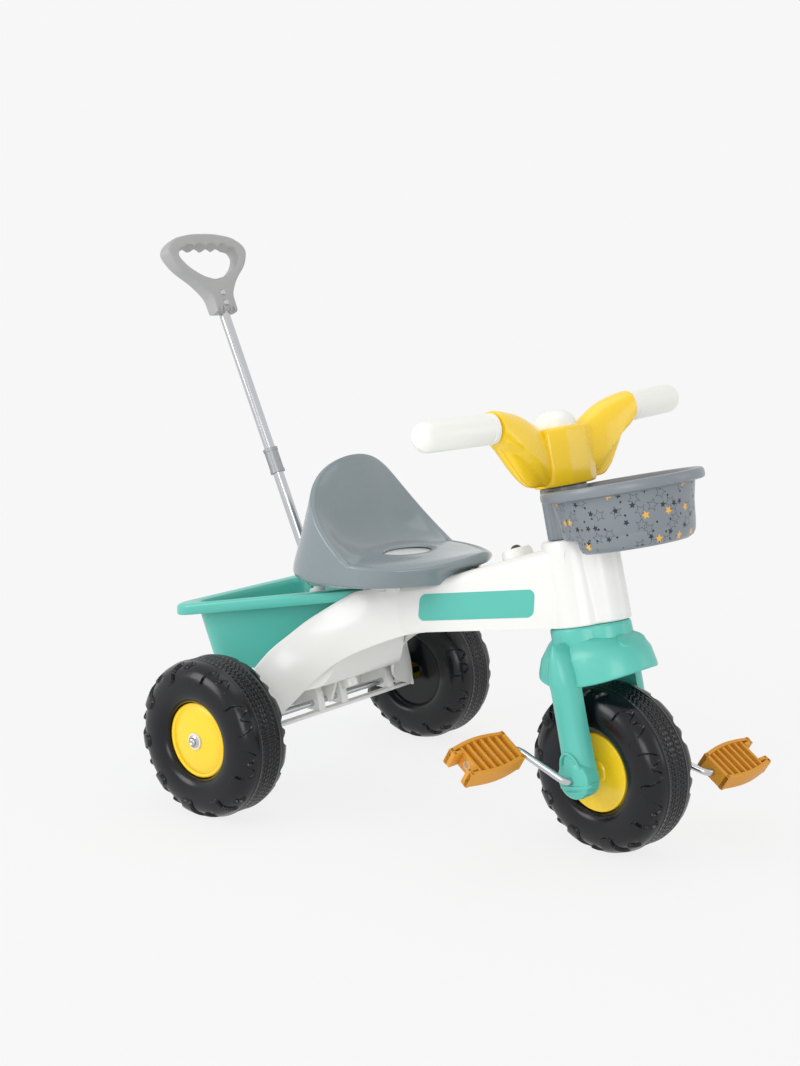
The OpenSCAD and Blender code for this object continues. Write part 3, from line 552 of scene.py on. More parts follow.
# slot: name, colour property, roughness and what else sets the plastic apart
PLASTICS = {
    # frame, a soft broad sheen
    "frame_white": ("Glossy white polypropylene", "frame", 0.3, {"coat": 0.25, "spread": 0.012}),
    "seat_grey": ("Satin slate polypropylene", "seat", 0.25, {"coat": 0.35, "spread": 0.03}),
    # bucket and fork, a satin skin with a little gloss on top
    "teal": ("Satin teal polypropylene", "teal", 0.36, {"coat": 0.15, "spread": 0.03}),
    # handlebar and hubs, glossy with hardly any grain
    "yellow": ("Glossy yellow polypropylene", "yellow", 0.26, {"depth": 0.015, "coat": 0.3, "spread": 0.02}),
    # grips and horn, waxy and soft in the highlights
    "grip_white": ("Waxy white polyethylene", "white", 0.34, {"coat": 0.15, "spread": 0.012}),
    "basket_grey": ("Satin grey polypropylene with printed film", "basket", 0.34,
                    {"coat": 0.1, "spread": 0.03}),
    "push_grey": ("Textured grey polypropylene", "push", 0.42, {"grain": 0.9, "depth": 0.2, "spread": 0.03}),
    "ochre": ("Matte ochre polypropylene", "ochre", 0.5, {"grain": 1.0, "depth": 0.12, "spread": 0.05}),
    # tyres, near black with a satin skin that shows the mould's fine texture
    "tyre_black": ("Satin black polyethylene", "tyre", 0.23,
                   {"grain": 1.0, "depth": 0.1, "spread": 0.12, "shine": 0.4}),
}


def steel():
    """Bright zinc plate on tube, rods and screws."""
    return plated("Zinc plated steel", colours().metal, 0.2)


def slot_material(slot):
    """Material that goes with a slot."""
    if slot == "chrome":
        return steel()
    name, key, rough, more = PLASTICS[slot]
    return moulding(name, getattr(colours(), key), rough, **more)


def printed_basket():
    """Moulded basket skin with a film of plain stars and dots laid round its side.

    The side has its own map in millimetres, round the tub and up; off the film the map is far below zero.
    Stars and dots are a common pattern in a layout of this file's own.
    """
    star_lean, star_edge, line_half = 0.394, 0.384, 0.36
    material = slot_material("basket_grey")
    tree = material.node_tree
    skin = next(n for n in tree.nodes if n.type == "BSDF_PRINCIPLED")
    base = skin.inputs["Base Color"].links[0].from_socket
    place = node(tree, "ShaderNodeUVMap", uv_map="film").outputs[0]
    height = node(tree, "ShaderNodeSeparateXYZ", {0: place}).outputs[1]
    film = calc(tree, "GREATER_THAN", height, OFF_FILM / 2)
    # pitch and radius in millimetres, share of the cells in use, ink, offset and kind of mark
    marks = ((18.0, 6.6, 0.7, "#565C65", 13.0, "outline"), (12.0, 1.3, 0.5, "#26282E", 3.0, "dot"),
             (15.0, 3.9, 0.55, "#26282E", 7.0, "star"), (25.0, 5.0, 0.6, "#E9B03C", 0.0, "star"))
    for pitch, radius, share, ink, offset, kind in marks:
        spot = node(tree, "ShaderNodeMapping",
                    {"Vector": place, "Location": (offset, offset * 2, 0)}).outputs[0]
        cell = node(tree, "ShaderNodeTexVoronoi", {"Vector": spot, "Scale": 1 / pitch, "Randomness": 0.75},
                    voronoi_dimensions="2D")
        away = node(tree, "ShaderNodeVectorMath", {0: spot, 1: cell.outputs["Position"]},
                    operation="SUBTRACT").outputs[0]
        reach = node(tree, "ShaderNodeVectorMath", {0: away}, operation="LENGTH").outputs["Value"]
        lot = node(tree, "ShaderNodeSeparateColor", {0: cell.outputs["Color"]})
        edge = radius
        if kind != "dot":
            # a five-pointed star's edge is a straight line in each tenth of a turn
            part = node(tree, "ShaderNodeSeparateXYZ", {0: away})
            angle = calc(tree, "ARCTAN2", part.outputs[1], part.outputs[0])
            turn = calc(tree, "MULTIPLY_ADD", lot.outputs[2], 6.0, angle)
            lean = calc(tree, "ADD", calc(tree, "PINGPONG", turn, pi / 5), star_lean)
            reach = calc(tree, "MULTIPLY", calc(tree, "SINE", lean), reach)
            edge = radius * star_edge
        if kind == "outline":
            mark = calc(tree, "COMPARE", reach, edge, line_half)
        else:
            mark = calc(tree, "LESS_THAN", reach, edge)
        kept = calc(tree, "LESS_THAN", lot.outputs[1], share)
        shown = calc(tree, "MULTIPLY", calc(tree, "MULTIPLY", mark, kept), film)
        base = blend(tree, shown, base, linear(ink))
    tree.links.new(base, skin.inputs["Base Color"])
    return material


# pieces


class TRIKE_OT_frame(bpy.types.Operator):
    """White moulding: head, beam, hips, crossbeam with its ribs and the tube socket"""
    bl_idname = "trike.frame"
    bl_label = "Frame moulding"

    def execute(self, context):
        s = sizes()
        to_rear = REAR_FRAME.inverted()
        parts = self.beam(s) + self.hips(s) + self.crossbeam(s) + self.cradle()
        # socket of the push tube, with its rolled mouth
        socket = turned([(7.1, -130), (11, -130), (11, 1), (10.6, 3.4), (9, 4), (7.1, 3.4)], 48)
        moved(socket, to_rear @ TUBE_FRAME @ spin(90, "X"))
        head = moved(sheet(self.head_rows(s)), to_rear @ HEAD_FRAME)
        finish(parts + [socket, head], "Frame_moulding", REAR_FRAME, "frame", ["main_frame"],
               "frame_white", 28)
        bolt = turned([(POLE, -2), (6.4, -2), (6.4, 9.4), (5.8, 11.6), (3.6, 13.6), (POLE, 14.4)], 40)
        moved(bolt, CUP_PLACE)
        finish([bolt], "Beam_bolt", REAR_FRAME, "frame", ["beam_bolt"], "bolt_steel",
               material=plated("Blackened steel", linear("#4A4B4D"), 0.34))
        return {"FINISHED"}

    def cradle(self):
        """Liner under the bucket from the rear wall up to the beam, and the rest under the seat's hole."""
        path = spline([(-38, 130, 124), (4, 130, 110), (30, 131, 93), (46, 134, 82), (60, 141, 73),
                       (72, 164, 65), (84, 196, 56), (96, 226, 48), (104, 238, 42)], 4)
        upstand, arch_start, arch_long = 22, 10, 30
        rows = []
        for x, z, half in path:
            # edges turned up along the arch, level behind it
            rise = upstand * min(1, max(0, (x - arch_start) / arch_long)) + 1
            level = [(x, half * v / 4, z) for v in range(-4, 5)]
            rows.append([(x - 5, 3 - half, z + rise), *level, (x - 5, half - 3, z + rise)])
        liner = sheet(rows, closed=False)
        apply(liner, "SOLIDIFY", thickness=2.4, offset=0)
        pad = block((98, -46, 284), (170, 46, 302.4), 4, 4)
        stem = block((104, -20, 255), (164, 20, 290), 4, 4)
        return [liner, pad, stem]

    def head_rows(self, s):
        """Two soft lobes between foot and top, edges rolled, with the bore of the column."""
        low, high = s.head_low, s.head_high
        rows = []
        for t, shrink in ((0, 2.2), (0.006, 0.9), (0.02, 0), (0.25, 0), (0.5, 0), (0.75, 0), (0.97, 0),
                          (0.99, 0.9), (1, 2.4)):
            rows.append(two_lobes(HEAD_R - 6 * t - shrink, 25 - t - shrink, low + (high - low) * t))
        bore = 18
        return rows + [circle(bore, high), circle(bore, low), rows[0]]

    def beam(self, s):
        """Beam with rolled upper edges, open below, and the ring cup ahead of the seat."""
        half, up, roll = s.beam_half, s.beam_half - 4, 12
        rows = []
        for x in (104, 150, BEAM_BEND, 250, CUP_AHEAD, 340, 385):
            lo = beam_low(x)
            hi = beam_top(x) if x > BEAM_BEND else beam_top(BEAM_BEND) + (x - BEAM_BEND) * REAR_SLOPE
            outer = [(half, lo), (half - 0.6, lo + (hi - lo) * 0.3), (up + 1.4, lo + (hi - lo) * 0.6)]
            outer += [(up - roll + roll * cos(a), hi - roll + roll * sin(a))
                      for a in fan(pi / 2, 8)]
            inner = [(max(0, y - WALL), z - WALL * 0.8 * step(hi - 14, z, 6)) for y, z in outer]
            left = outer[::-1] + inner
            rows.append([(x, y, z) for y, z in outer + [(-y, z) for y, z in left] + inner[::-1]])
        beam = sheet(rows)
        cup = turned([(3.2, 4), (12.6, 4), (13.6, 5), (13.8, 10), (14.4, 10.6), (16.2, 9.8), (17.8, 6.4),
                      (19.2, -6), (19.2, -9), (3.2, -9)], 64)
        return [beam, moved(cup, CUP_PLACE)]

    def hips(self, s):
        """Swept side panels from the beam out to the wheels, with the deck behind their ridge."""
        b, c = s.beam_half, s.cross_half
        ridge = spline([(150, b - 3.5, 267), (118, b - 1, 262), (92, 45, 256), (72, 48, 245), (50, 56, 230),
                        (32, 70, 215), (19, 88, 199), (8, 110, 182), (2, 136, 160), (0, c - 1, 144)], 6)
        edge = spline([(190, b - 1, 219.5), (165, b, 213), (142, 44, 204), (118, 52, 193), (95, 61, 181),
                       (72, 70, 165), (50, 81, 143), (32, 96, 118), (20, 122, 96), (14, c - 1, 84)], 6)
        rows = []
        for i, (top, low) in enumerate(zip(ridge, edge)):
            # the panel comes out of the beam's side little by little
            start = min(1, i / 16)
            swell = (3 + 5 * sin(pi * min(1, i / 54))) * start
            row = []
            for t in fan(1, 16):
                x, y, z = lerp(low, top, t)
                lift = sin(pi * t) * swell
                row.append((x + 0.5 * lift, y + 0.6 * lift - 1.6 * (1 - start), z + 0.35 * lift))
            # ridge rolls over to the rear
            x, y, z = top
            rows.append(row + [(x - 2.2, y - 0.6, z + 0.2), (x - 5, y - 1.6, z - 1.6)])
        panel = sheet(rows, closed=False)
        # the deck starts where the panel has left the beam
        deck = sheet([[(x - 3.5, y - 1.1, z - 0.9), (x - 6, y - 1.4, z - 12),
                       (min(x - 9, -6), y - 2, 130 - 0.1 * y), (-38, y - 2, 126 - 0.1 * y)]
                      for x, y, z in ridge[36:]], closed=False)
        made = []
        for part in (panel, deck):
            close(part)
            if sum((f.normal for f in part.data.polygons), Vector()).z < 0:
                part.data.flip_normals()
            apply(part, "SOLIDIFY", thickness=WALL, offset=-1)
            made += both_sides(part)
        return made

    def crossbeam(self, s):
        """Rear wall, end plates, ribs, keel, lower lip and axle bosses."""
        c, bore = s.cross_half, s.axle_r + 0.1
        right = [(-c + 1, 82.5), (-c + 1, 111), (-138, 113), (-124, 131)]
        wall = plate(right + [(-y, z) for y, z in right[::-1]], "x", -40, 4)
        end = plate([(-41, 82), (16, 82), (2, 146.5), (-5, 142), (-10, 116), (-41, 111.5)], "y", c - 4, 4,
                    bevel=1.4)
        ribs = [plate([(-38, 86), (13, 86), (8, 108), (-2, top), (-38, top)], "y", y - 6, 12)
                for y, top in ((22, 130), (-22, 130), (115, 129), (-115, 129))]
        keel = plate([(-38, 92), (-38, 131), (20, 131), (8, 92)], "y", -3, 6)
        lip = block((5, -c + 2, 83), (14.5, c - 2, 87.5), 1.2)
        boss = turned([(bore, c - 20), (10, c - 20), (10, c + 1.2), (9.6, c + 1.5), (bore, c + 1.5)], 48)
        moved(boss, shift(0, 0, s.wheel_r))
        return [wall, keel, lip] + ribs + both_sides(end) + both_sides(boss)


class TRIKE_OT_seat(bpy.types.Operator):
    """Grey scooped seat with tall back, skirt and oval hand hole"""
    bl_idname = "trike.seat"
    bl_label = "Seat"

    def execute(self, context):
        s = sizes()
        columns = [spline(self.section(s, a), 4, closed=True) for a in turns(120)]
        shell = sheet(columns, looped=True)
        finish([shell], "Seat_moulding", REAR_FRAME, "frame", ["seat"], "seat_grey", 50)
        return {"FINISHED"}

    def section(self, s, a):
        """Wall of the seat at one angle: skirt, rim, dish, hole edge and underside."""
        mid, hole_mid, hole_half, hole_wide = 125, 133, 26, 38
        rear_reach, rear_lean, skirt_rear, skirt_set_back = 178.5, 94.5, 129, 26
        floor_rise, floor_slope, nose_rise, skirt_foot = 4.2, 0.02, 15.5, 265
        c, sn = cos(a), sin(a)
        part = max(0, -c) ** 0.88

        def plan(front, rear, half, exponent):
            if c >= 0:
                return mid + front * c, half * sn * (1 - 0.45 * c ** 3)
            return mid - rear * (-c) ** (2 / exponent), half * power(sn, 2 / exponent)

        def edge(grow):
            return plan(s.seat_front + grow, rear_reach - rear_lean * part + grow, s.seat_half + grow, 2.22)

        def foot(grow):
            return plan(s.seat_front - skirt_set_back + grow, skirt_rear + grow, s.seat_half + 3 + grow, 3)

        def floor(p):
            return s.seat_rim + floor_rise + (p[0] - mid) * floor_slope

        rim, inner, low = edge(0), edge(-9), foot(0)
        hi = s.seat_rim + nose_rise * max(0, c) ** 4 + s.back_rise * part
        lo = skirt_foot + (low[0] - 4) * 0.09 - 5 * max(0, c) ** 1.5
        # at the nose the skirt stands back under a thick lip
        nose = max(0, c) ** 3
        hole = (hole_mid + hole_half * c, hole_wide * sn)
        m0, m1, m2, m3 = (lerp(inner, hole, t) for t in (0.14, 0.36, 0.68, 0.9))
        d0, d1, d2 = (floor(m) + (hi - floor(m)) * t for m, t in ((m0, 0.66), (m1, 0.28), (m2, 0.05)))
        out = Vector((m1[0] - hole_mid, m1[1])).normalized()
        waist = lerp(low, rim, 0.5 - 0.08 * nose)
        # the lower edge rolls under, most of all at the rear
        roll = 3 + 15 * part
        return [
            (*foot(-0.9 * roll), lo), (*foot(-0.3 * roll), lo + 0.3 * roll), (*low, lo + roll),
            (*lerp(low, rim, 0.25 - 0.1 * nose), lo + roll + (hi - lo - roll) * 0.26),
            (*waist, lo + (hi - lo) * (0.55 - 0.05 * nose)),
            (*lerp(low, rim, 0.86 + 0.02 * nose), lo + (hi - lo) * (0.85 - 0.2 * nose)),
            (*rim, hi - 3.4 - 1.6 * nose), (*lerp(rim, inner, 0.2), hi - 0.8),
            (*lerp(rim, inner, 0.5), hi), (*lerp(rim, inner, 0.85), hi - 1.2 - 1.2 * part),
            (*m0, d0), (*m1, d1), (*m2, d2), (*m3, floor(m3) + 0.6),
            (*hole, floor(hole) - 1.4), (*hole, floor(hole) - 3.4),
            (m2[0] + out.x, m2[1] + out.y, d2 - 3.4), (m1[0] + 2.6 * out.x, m1[1] + 2.6 * out.y, d1 - 3.2),
            (*lerp(rim, inner, 0.5), hi - 7.2), (*lerp(waist, (mid, 0), 0.03), lo + (hi - lo) * 0.5),
            (*foot(-0.9 * roll - 3.2), lo)]


class TRIKE_OT_bucket(bpy.types.Operator):
    """Teal load bucket with a rolled rim"""
    bl_idname = "trike.bucket"
    bl_label = "Bucket"

    def execute(self, context):
        s = sizes()
        half, back = s.bucket_half, s.bucket_back
        foot, rim_high, rim_slope = 140, 219, 0.16

        def outline(rear, wide, rear_r, front, narrow, front_r, grow):
            return corner_ring([(rear - grow, wide + grow, rear_r), (rear - grow, -wide - grow, rear_r),
                                (front + grow, -narrow - grow, front_r),
                                (front + grow, narrow + grow, front_r)], 12)

        def rim(grow, dz):
            ring = outline(-back, half, 26, 94, 34, 14, grow)
            return [(x, y, rim_high + (x + back) * rim_slope + dz) for x, y in ring]

        def base(grow, z):
            return [(x, y, z) for x, y in outline(29 - back, half - 36, 26, 54, 27, 12, grow)]

        def wall_rows(b, r):
            return [[lerp(p, q, t) for p, q in zip(b, r)] for t in (0.05, 0.35, 0.7, 0.96)]

        rows = [base(-8, foot), base(-3, foot + 0.8), base(-0.4, foot + 3.4)]
        rows += wall_rows(base(0, foot + 5), rim(-17, -5.6))
        rows += [rim(grow, dz) for grow, dz in (
            (-16.4, -4), (-14, -3.4), (-5, -3.6), (-3.4, -4.6), (-2.6, -13), (-1.8, -14.2), (-0.2, -14),
            (0.6, -12.6), (0.8, -4), (-0.2, -1.4), (-2.6, 0), (-8, 0.4), (-15, 0), (-18.6, -1.2),
            (-20.2, -4))]
        rows += wall_rows(base(-WALL, foot + 7), rim(-17 - WALL, -6))[::-1]
        rows += [base(-WALL - 0.6, foot + 4.6), base(-WALL - 8, foot + WALL)]
        finish([sheet(capped(rows))], "Load_bucket", REAR_FRAME, "frame", ["bucket"], "teal", 40)
        return {"FINISHED"}


class TRIKE_OT_push_grip(bpy.types.Operator):
    """Grey push grip with finger hollows"""
    bl_idname = "trike.push_grip"
    bl_label = "Push grip"

    def execute(self, context):
        s = sizes()
        w, h, t = s.push_half, s.push_h, s.push_t
        outside = spline([(20, 0), (19, 12), (22, 25), (w * 0.52, h * 0.4), (w * 0.81, h * 0.56),
                          (w - 3, h * 0.69), (w, h * 0.79), (w - 8, h * 0.885), (w * 0.66, h - 5),
                          (w * 0.33, h - 1), (0, h)], 8)
        inside = spline([(0, h * 0.43), (w * 0.29, h * 0.465), (w * 0.55, h * 0.56), (w * 0.71, h * 0.67),
                         (w * 0.725, h * 0.75), (w * 0.6, h * 0.81), (0, h * 0.82)], 8)
        centre = (0, h * 0.64)
        hollow_wide, hollow_deep = w * 0.276, 5.5
        rows = []
        for a in turns(168):
            far = self.cast(outside, centre, a)
            near = self.cast(inside, centre, a)
            if near[1] > centre[1] + 6 and abs(near[0]) < w * 0.56:
                # four hollows for the fingers
                wave = abs(sin(pi * near[0] / hollow_wide)) ** 0.7
                near = (near[0], near[1] + hollow_deep * wave - 1.5)
            rows.append(self.ring(near, far, t / 2))
        ring = sheet(rows, looped=True)
        ribs = [block((t / 2 - 1.5, y - 1.3, 0.5), (t / 2 + 0.9, y + 1.3, 8), 0.8) for y in (-12, -6, 6, 12)]
        finish([ring] + ribs, "Push_grip", TUBE_FRAME @ shift(0, 0, s.push_start), "push_handle",
               ["handle_grip"], "push_grey", 45)
        return {"FINISHED"}

    def cast(self, half_line, centre, angle):
        """Point of a mirrored half outline seen from a centre at an angle."""
        line = list(half_line) + [(-x, z) for x, z in half_line[::-1]]
        ray = Vector((cos(angle), sin(angle)))
        best = None
        for p, q in zip(line, line[1:] + line[:1]):
            p, q = Vector(p) - Vector(centre), Vector(q) - Vector(centre)
            side = q - p
            det = ray.x * -side.y + ray.y * side.x
            if abs(det) < 1e-9:
                continue
            reach = (p.x * -side.y + p.y * side.x) / det
            along = (ray.x * p.y - ray.y * p.x) / det
            if reach > 0 and -1e-6 <= along <= 1 + 1e-6 and (best is None or reach > best):
                best = reach
        return centre[0] + ray.x * best, centre[1] + ray.y * best

    def ring(self, near, far, half):
        """Rounded section between the inner and the outer outline."""
        row = []
        for a in turns(28):
            u = 0.5 + 0.5 * power(cos(a), 0.34)
            p = lerp(near, far, u)
            row.append((half * power(sin(a), 0.55), p[0], p[1]))
        return row


class TRIKE_OT_fork(bpy.types.Operator):
    """Teal fork: two-lobed crown, mudguard, half-round legs and axle clips"""
    bl_idname = "trike.fork"
    bl_label = "Fork"

    def execute(self, context):
        s = sizes()
        foot, top, bore = 118, s.head_low - 0.5, 12.6
        crown = [two_lobes(HEAD_R - shrink, 28 - 2 * t - shrink, foot + (top - foot) * t)
                 for t, shrink in ((0, 0), (0.5, 0), (0.94, 0), (0.98, 0.8), (1, 2.2))]
        crown += [circle(bore, top), circle(bore, foot + 4)]
        parts = [sheet(capped(crown)), self.guard(s), self.relief()]
        for part in (self.leg(s), *self.leg_end(s)):
            parts += both_sides(part)
        finish(parts, "Fork_moulding", STEERED_FRAME, "steering",
               ["fork", "axle_clip_right", "axle_clip_left"], "teal", 34)
        return {"FINISHED"}

    def guard(self, s):
        """Visor over the wheel, round in front, a little flared behind."""
        half, reach = s.leg_in + 8, 79

        def ring(front, rear, inset, z, rises):
            row = []
            for a in turns(ROUND):
                c, sn = cos(a), sin(a)
                e = 2 / 2.15 if c > 0 else 2 / 2.5
                x = power(c, e) * (front if c > 0 else rear)
                u = x / reach
                rise = 10 * max(0, u) ** 2 + 14 * min(1, max(0, -u / 0.78)) ** 2
                row.append((x, (half - inset) * power(sn, e), z + rise * rises))
            return row

        # reach in front and behind, inset of the sides, height, and whether it rises to front and rear
        return sheet(capped([ring(*v) for v in (
            (62, 44, 12, 122, 0), (70, 54, 6, 108, 1), (75.6, 60, 3, 101.4, 1), (77.6, 62.4, 1.2, 100.2, 1),
            (reach, 64, 0, 101.4, 1), (reach, 63.6, 0.2, 105, 1), (78, 62, 1, 110, 1),
            (74.5, 57, 2.6, 131, 0), (69, 50, 7, 140, 0), (62, 46, 13, 147, 0), (50, 42, 17, 151, 0))]))

    def relief(self):
        """Low oval cushion on top of the visor."""
        ahead, high, half_long, half_wide, slope = 62, 144, 9, 20, 0.9
        rows = []
        for t, lift in ((1, -3), (1, 0.2), (0.9, 1.2), (0.6, 1.6)):
            row = [(half_long * t * cos(a), half_wide * t * sin(a)) for a in turns(40)]
            rows.append([(ahead + x, y, high - slope * x + lift) for x, y in row])
        return sheet(capped(rows))

    def leg(self, s):
        """Half-round leg with a round end and a shoulder that runs up to a round arch."""
        rows = []
        low = s.leg_w / 2 - 1.4
        arch_foot, arch_top = 98, 150
        levels = [-low * sin(a) for a in fan(pi / 2, 10)[:0:-1]] + [0, 28, 56]
        levels += [arch_foot + rise for rise in fan(arch_top - arch_foot, 14)]
        for z in levels:
            half = math.sqrt(max(0.2, low * low - z * z)) if z < 0 else low - 2.4 * min(z, 40) / 40
            arch = max(0, (z - arch_foot) / (arch_top - arch_foot))
            half *= max(0.02, 1 - arch ** 2.2) ** 0.62
            back = s.leg_in - 4 * arch
            thick = s.leg_t * (1 - 0.35 * arch ** 3) * min(1, 0.62 + half / 56 + 0.38 * arch)
            out = thick + s.leg_in - back
            row = [(half * cos(a), back + out * sin(a) ** 0.8, z) for a in fan(pi, 32)]
            row += [(-half + 2 * half * i / 6, back, z) for i in range(1, 6)]
            rows.append(row)
        return sheet(capped(rows))

    def leg_end(self, s):
        """Round boss at the axle, the clip's ridges and the hood above the crank."""
        out, bore = s.leg_in + s.leg_t, s.axle_r + 0.2
        boss = turned([(bore, s.leg_in + 1), (22.4, s.leg_in + 1), (22.4, out - 7), (21.6, out - 4),
                       (19.4, out - 2.2), (14, out - 0.6), (8, out + 0.2), (bore, out + 0.2)], 64)
        bands = []
        for z0, z1, wide, lift in ((-15.4, -11.4, 18.5, 1.8), (-9.6, -4.8, 23, 2.6)):
            lines = []
            for z, grow in ((z0, -1), (z0 + 0.7, lift), (z1 - 0.7, lift), (z1, -1)):
                lines.append([(wide * u, out - 0.6 + grow - 5 * u ** 2 - 5 * u ** 8, z)
                              for u in [i / 10 for i in range(-10, 11)]])
            back = [[(x, y - 8, z) for x, y, z in line] for line in (lines[0], lines[-1])]
            bands.append(sheet(capped([list(line) for line in zip(back[0], *lines, back[1])])))
        arch = [(14.5 * cos(t), out - 0.2 - 3 * cos(t) ** 2, 6 + 25 * sin(t))
                for t in fan(pi, 20)]
        return [boss, tube_along(arch, 1.7, 12)] + bands


class TRIKE_OT_handlebar(bpy.types.Operator):
    """Yellow handlebar, white grips and the horn button"""
    bl_idname = "trike.handlebar"
    bl_label = "Handlebar"

    def execute(self, context):
        s = sizes()
        low = s.bar_low
        # y, x, lower edge, upper edge, half depth and foot of the arm over its set-back web
        wing = [(0, 3, 3, 62, 13, 0), (12, 3, 3, 62, 13, 0), (29, 5, 3, 64, 14.6, 0),
                (43, 6.5, 3.6, 72.5, 17.2, 12), (56, 8.5, 4, 79.5, 18.8, 24), (64, 9.5, 6.5, 83.5, 19.4, 31),
                (75, 11, 16, 87.5, 19.6, 40), (85, 12.2, 29, 90, 19.4, 47), (96, 13.4, 45, 92.4, 19, 52),
                (104, 14.2, 54, 93.6, 18.8, 54), (s.grip_in - 0.3, 14.6, 56.6, 94, 18.6, 54)]
        squareness, web_back = 0.82, 11
        line = spline(wing, 6)
        rows = []
        for y, x, lo, hi, deep, foot in [(-p[0], *p[1:]) for p in line[:0:-1]] + line:
            row = []
            for a in turns(72):
                z = (lo + hi) / 2 + (hi - lo) / 2 * power(sin(a), squareness)
                set_back = web_back * max(0, cos(a)) ** 0.4 * step(-foot, -z, 8)
                row.append((x + deep * power(cos(a), squareness) - set_back, y, low + z))
            rows.append(row)
        wings = sheet(capped(rows))
        hub = sheet(capped([self.hub_ring(grow, low + z) for grow, z in (
            (-4, 0), (-1.6, 1), (-0.4, 4), (0.4, 22), (1.2, 44), (1.6, 60), (0.8, 63.4), (-1, 65),
            (-5, 65.4))]))
        finish([wings, hub], "Handlebar_moulding", STEERED_FRAME, "steering", ["handlebar"], "yellow", 38)
        self.grips(s)
        self.horn(s)
        return {"FINISHED"}

    def hub_ring(self, grow, z):
        """Hub section with a front panel and two slanted ones beside it."""
        front, side, rear = 28 + grow, 19 + grow, -24 - grow
        ring = corner_ring([(front, -15, 5), (front, 15, 5), (side, 36 + grow, 6), (rear, 31 + grow, 9),
                            (rear, -31 - grow, 9), (side, -36 - grow, 6)], 7)
        return [(3 + x, y, z) for x, y in ring]

    def grips(self, s):
        """Round grips with a shoulder ring and a domed end, set out from the wings."""
        r, length = s.grip_r, s.grip_len
        profile = [(POLE, 0.6), (r - 1, 0.6), (r, 1.4), (r, 7), (r - 0.9, 7.6), (r - 0.9, 9), (r, 9.6),
                   (r, 40)]
        profile += [(r * cos(a), length - r + r * sin(a)) for a in fan(pi / 2, 12)[:-1]]
        grip = turned(profile + [(POLE, length)], 64)
        left = moved(grip, shift(14.6, s.grip_in, s.bar_low + 75) @ spin(1.9, "X") @ spin(6.8, "Z"))
        right = close(moved(copied(left), MIRROR))
        for part, side in ((left, "left"), (right, "right")):
            finish([part], "Hand_grip_" + side, STEERED_FRAME, "steering", ["grip_" + side], "grip_white")

    def horn(self, s):
        """Domed push button."""
        low, r = s.bar_low + 51, 24
        profile = [(21, low + 0.4), (r - 0.6, low), (r, low + 1)]
        profile += [(r * cos(a), low + 17 + 18 * sin(a)) for a in fan(pi / 2, 14)[:-1]]
        button = turned(profile + [(POLE, low + 35), (POLE, low + 13), (21, low + 13)], 72)
        moved(button, shift(3, 0, 0) @ spin(90, "X"))
        finish([button], "Horn_button", STEERED_FRAME, "horn", ["horn_button"], "grip_white")


class TRIKE_OT_basket(bpy.types.Operator):
    """Grey front basket with a rolled lip and a ribbed neck"""
    bl_idname = "trike.basket"
    bl_label = "Basket"

    def execute(self, context):
        s = sizes()
        top = s.bar_low - 2.7
        low = top - 73
        shelf = s.head_high + 0.5
        mid = 85

        def ring(grow, z, back=None):
            row = []
            for a in turns(120):
                x = mid + (s.basket_front - mid + grow) * cos(a)
                row.append((x if back is None else max(x, back), (s.basket_half + grow) * sin(a), z))
            return row

        # outer side, rolled lip and inner side; the foot is cut off straight in front of the column
        tub = sheet(capped([ring(*v) for v in (
            (-36, low, 70), (-28, low + 0.8, 69), (-23, low + 3.4, 68.4), (-20, low + 8, 68),
            (-18.4, shelf - 0.6, 68), (-18.4, shelf, 66), (-18.3, shelf + 0.1), (-16, low + 40),
            (-12, top - 13.4), (-10.6, top - 12.4), (-4, top - 12), (-1.4, top - 11), (-0.6, top - 8),
            (-0.8, top - 3.6), (-2, top - 1), (-4.4, top), (-7.4, top), (-10.6, top - 1.4), (-12.6, top - 5),
            (-12 - WALL, top - 14), (-16 - WALL, low + 40), (-18.4 - WALL, shelf + WALL + 0.1),
            (-18.6 - WALL, shelf + WALL, 68 + WALL), (-20 - WALL, low + 9, 68 + WALL),
            (-24 - WALL, low + WALL + 1.4, 69 + WALL), (-34 - WALL, low + WALL, 72 + WALL))]))
        self.film_map(tub, (mid, s.basket_front - mid, s.basket_half), low + 3, top - 13)
        neck_r, rib_deep, ribs = 27, 1.1, 18
        neck = []
        for z, shrink in ((shelf, 1), (shelf + 0.8, 0), (top - 1, 0), (top + 1.6, 0.2), (top + 2.4, 1.2)):
            row = []
            for a in turns(240):
                rib = rib_deep * (0.5 + 0.5 * cos(ribs * a)) * step(-0.25, -cos(a), 0.2)
                r = neck_r - shrink - rib
                row.append((r * cos(a), r * sin(a), z))
            neck.append(row)
        neck_wall = sheet(capped(neck))
        for corner in neck_wall.data.uv_layers.new(name="film").data:
            corner.uv = (0, OFF_FILM)
        finish([tub, neck_wall], "Front_basket", STEERED_FRAME, "steering", ["basket"], "basket_grey", 40,
               printed_basket())
        return {"FINISHED"}

    def film_map(self, tub, oval, low, high):
        """Map in millimetres round the tub's outer side, where the film lies; oval is middle and radii."""
        mid, deep, wide = oval
        mean_r = 78
        film = tub.data.uv_layers.new(name="film")
        for face in tub.data.polygons:
            spot = face.center
            away = Vector(((spot.x - mid) / deep, spot.y / wide))
            outer = abs(face.normal.z) < 0.6 and face.normal.dot(Vector((spot.x - mid, spot.y, 0))) > 0
            ahead = cos(away.angle_signed((1, 0), 0)) > -0.62
            on_side = outer and ahead and 0.745 < away.length < 0.89 and low < spot.z < high
            for corner in face.loop_indices:
                p = tub.data.vertices[tub.data.loops[corner].vertex_index].co
                turn = math.atan2(p.y / wide, (p.x - mid) / deep)
                film.data[corner].uv = (turn * mean_r, p.z) if on_side else (0, OFF_FILM)


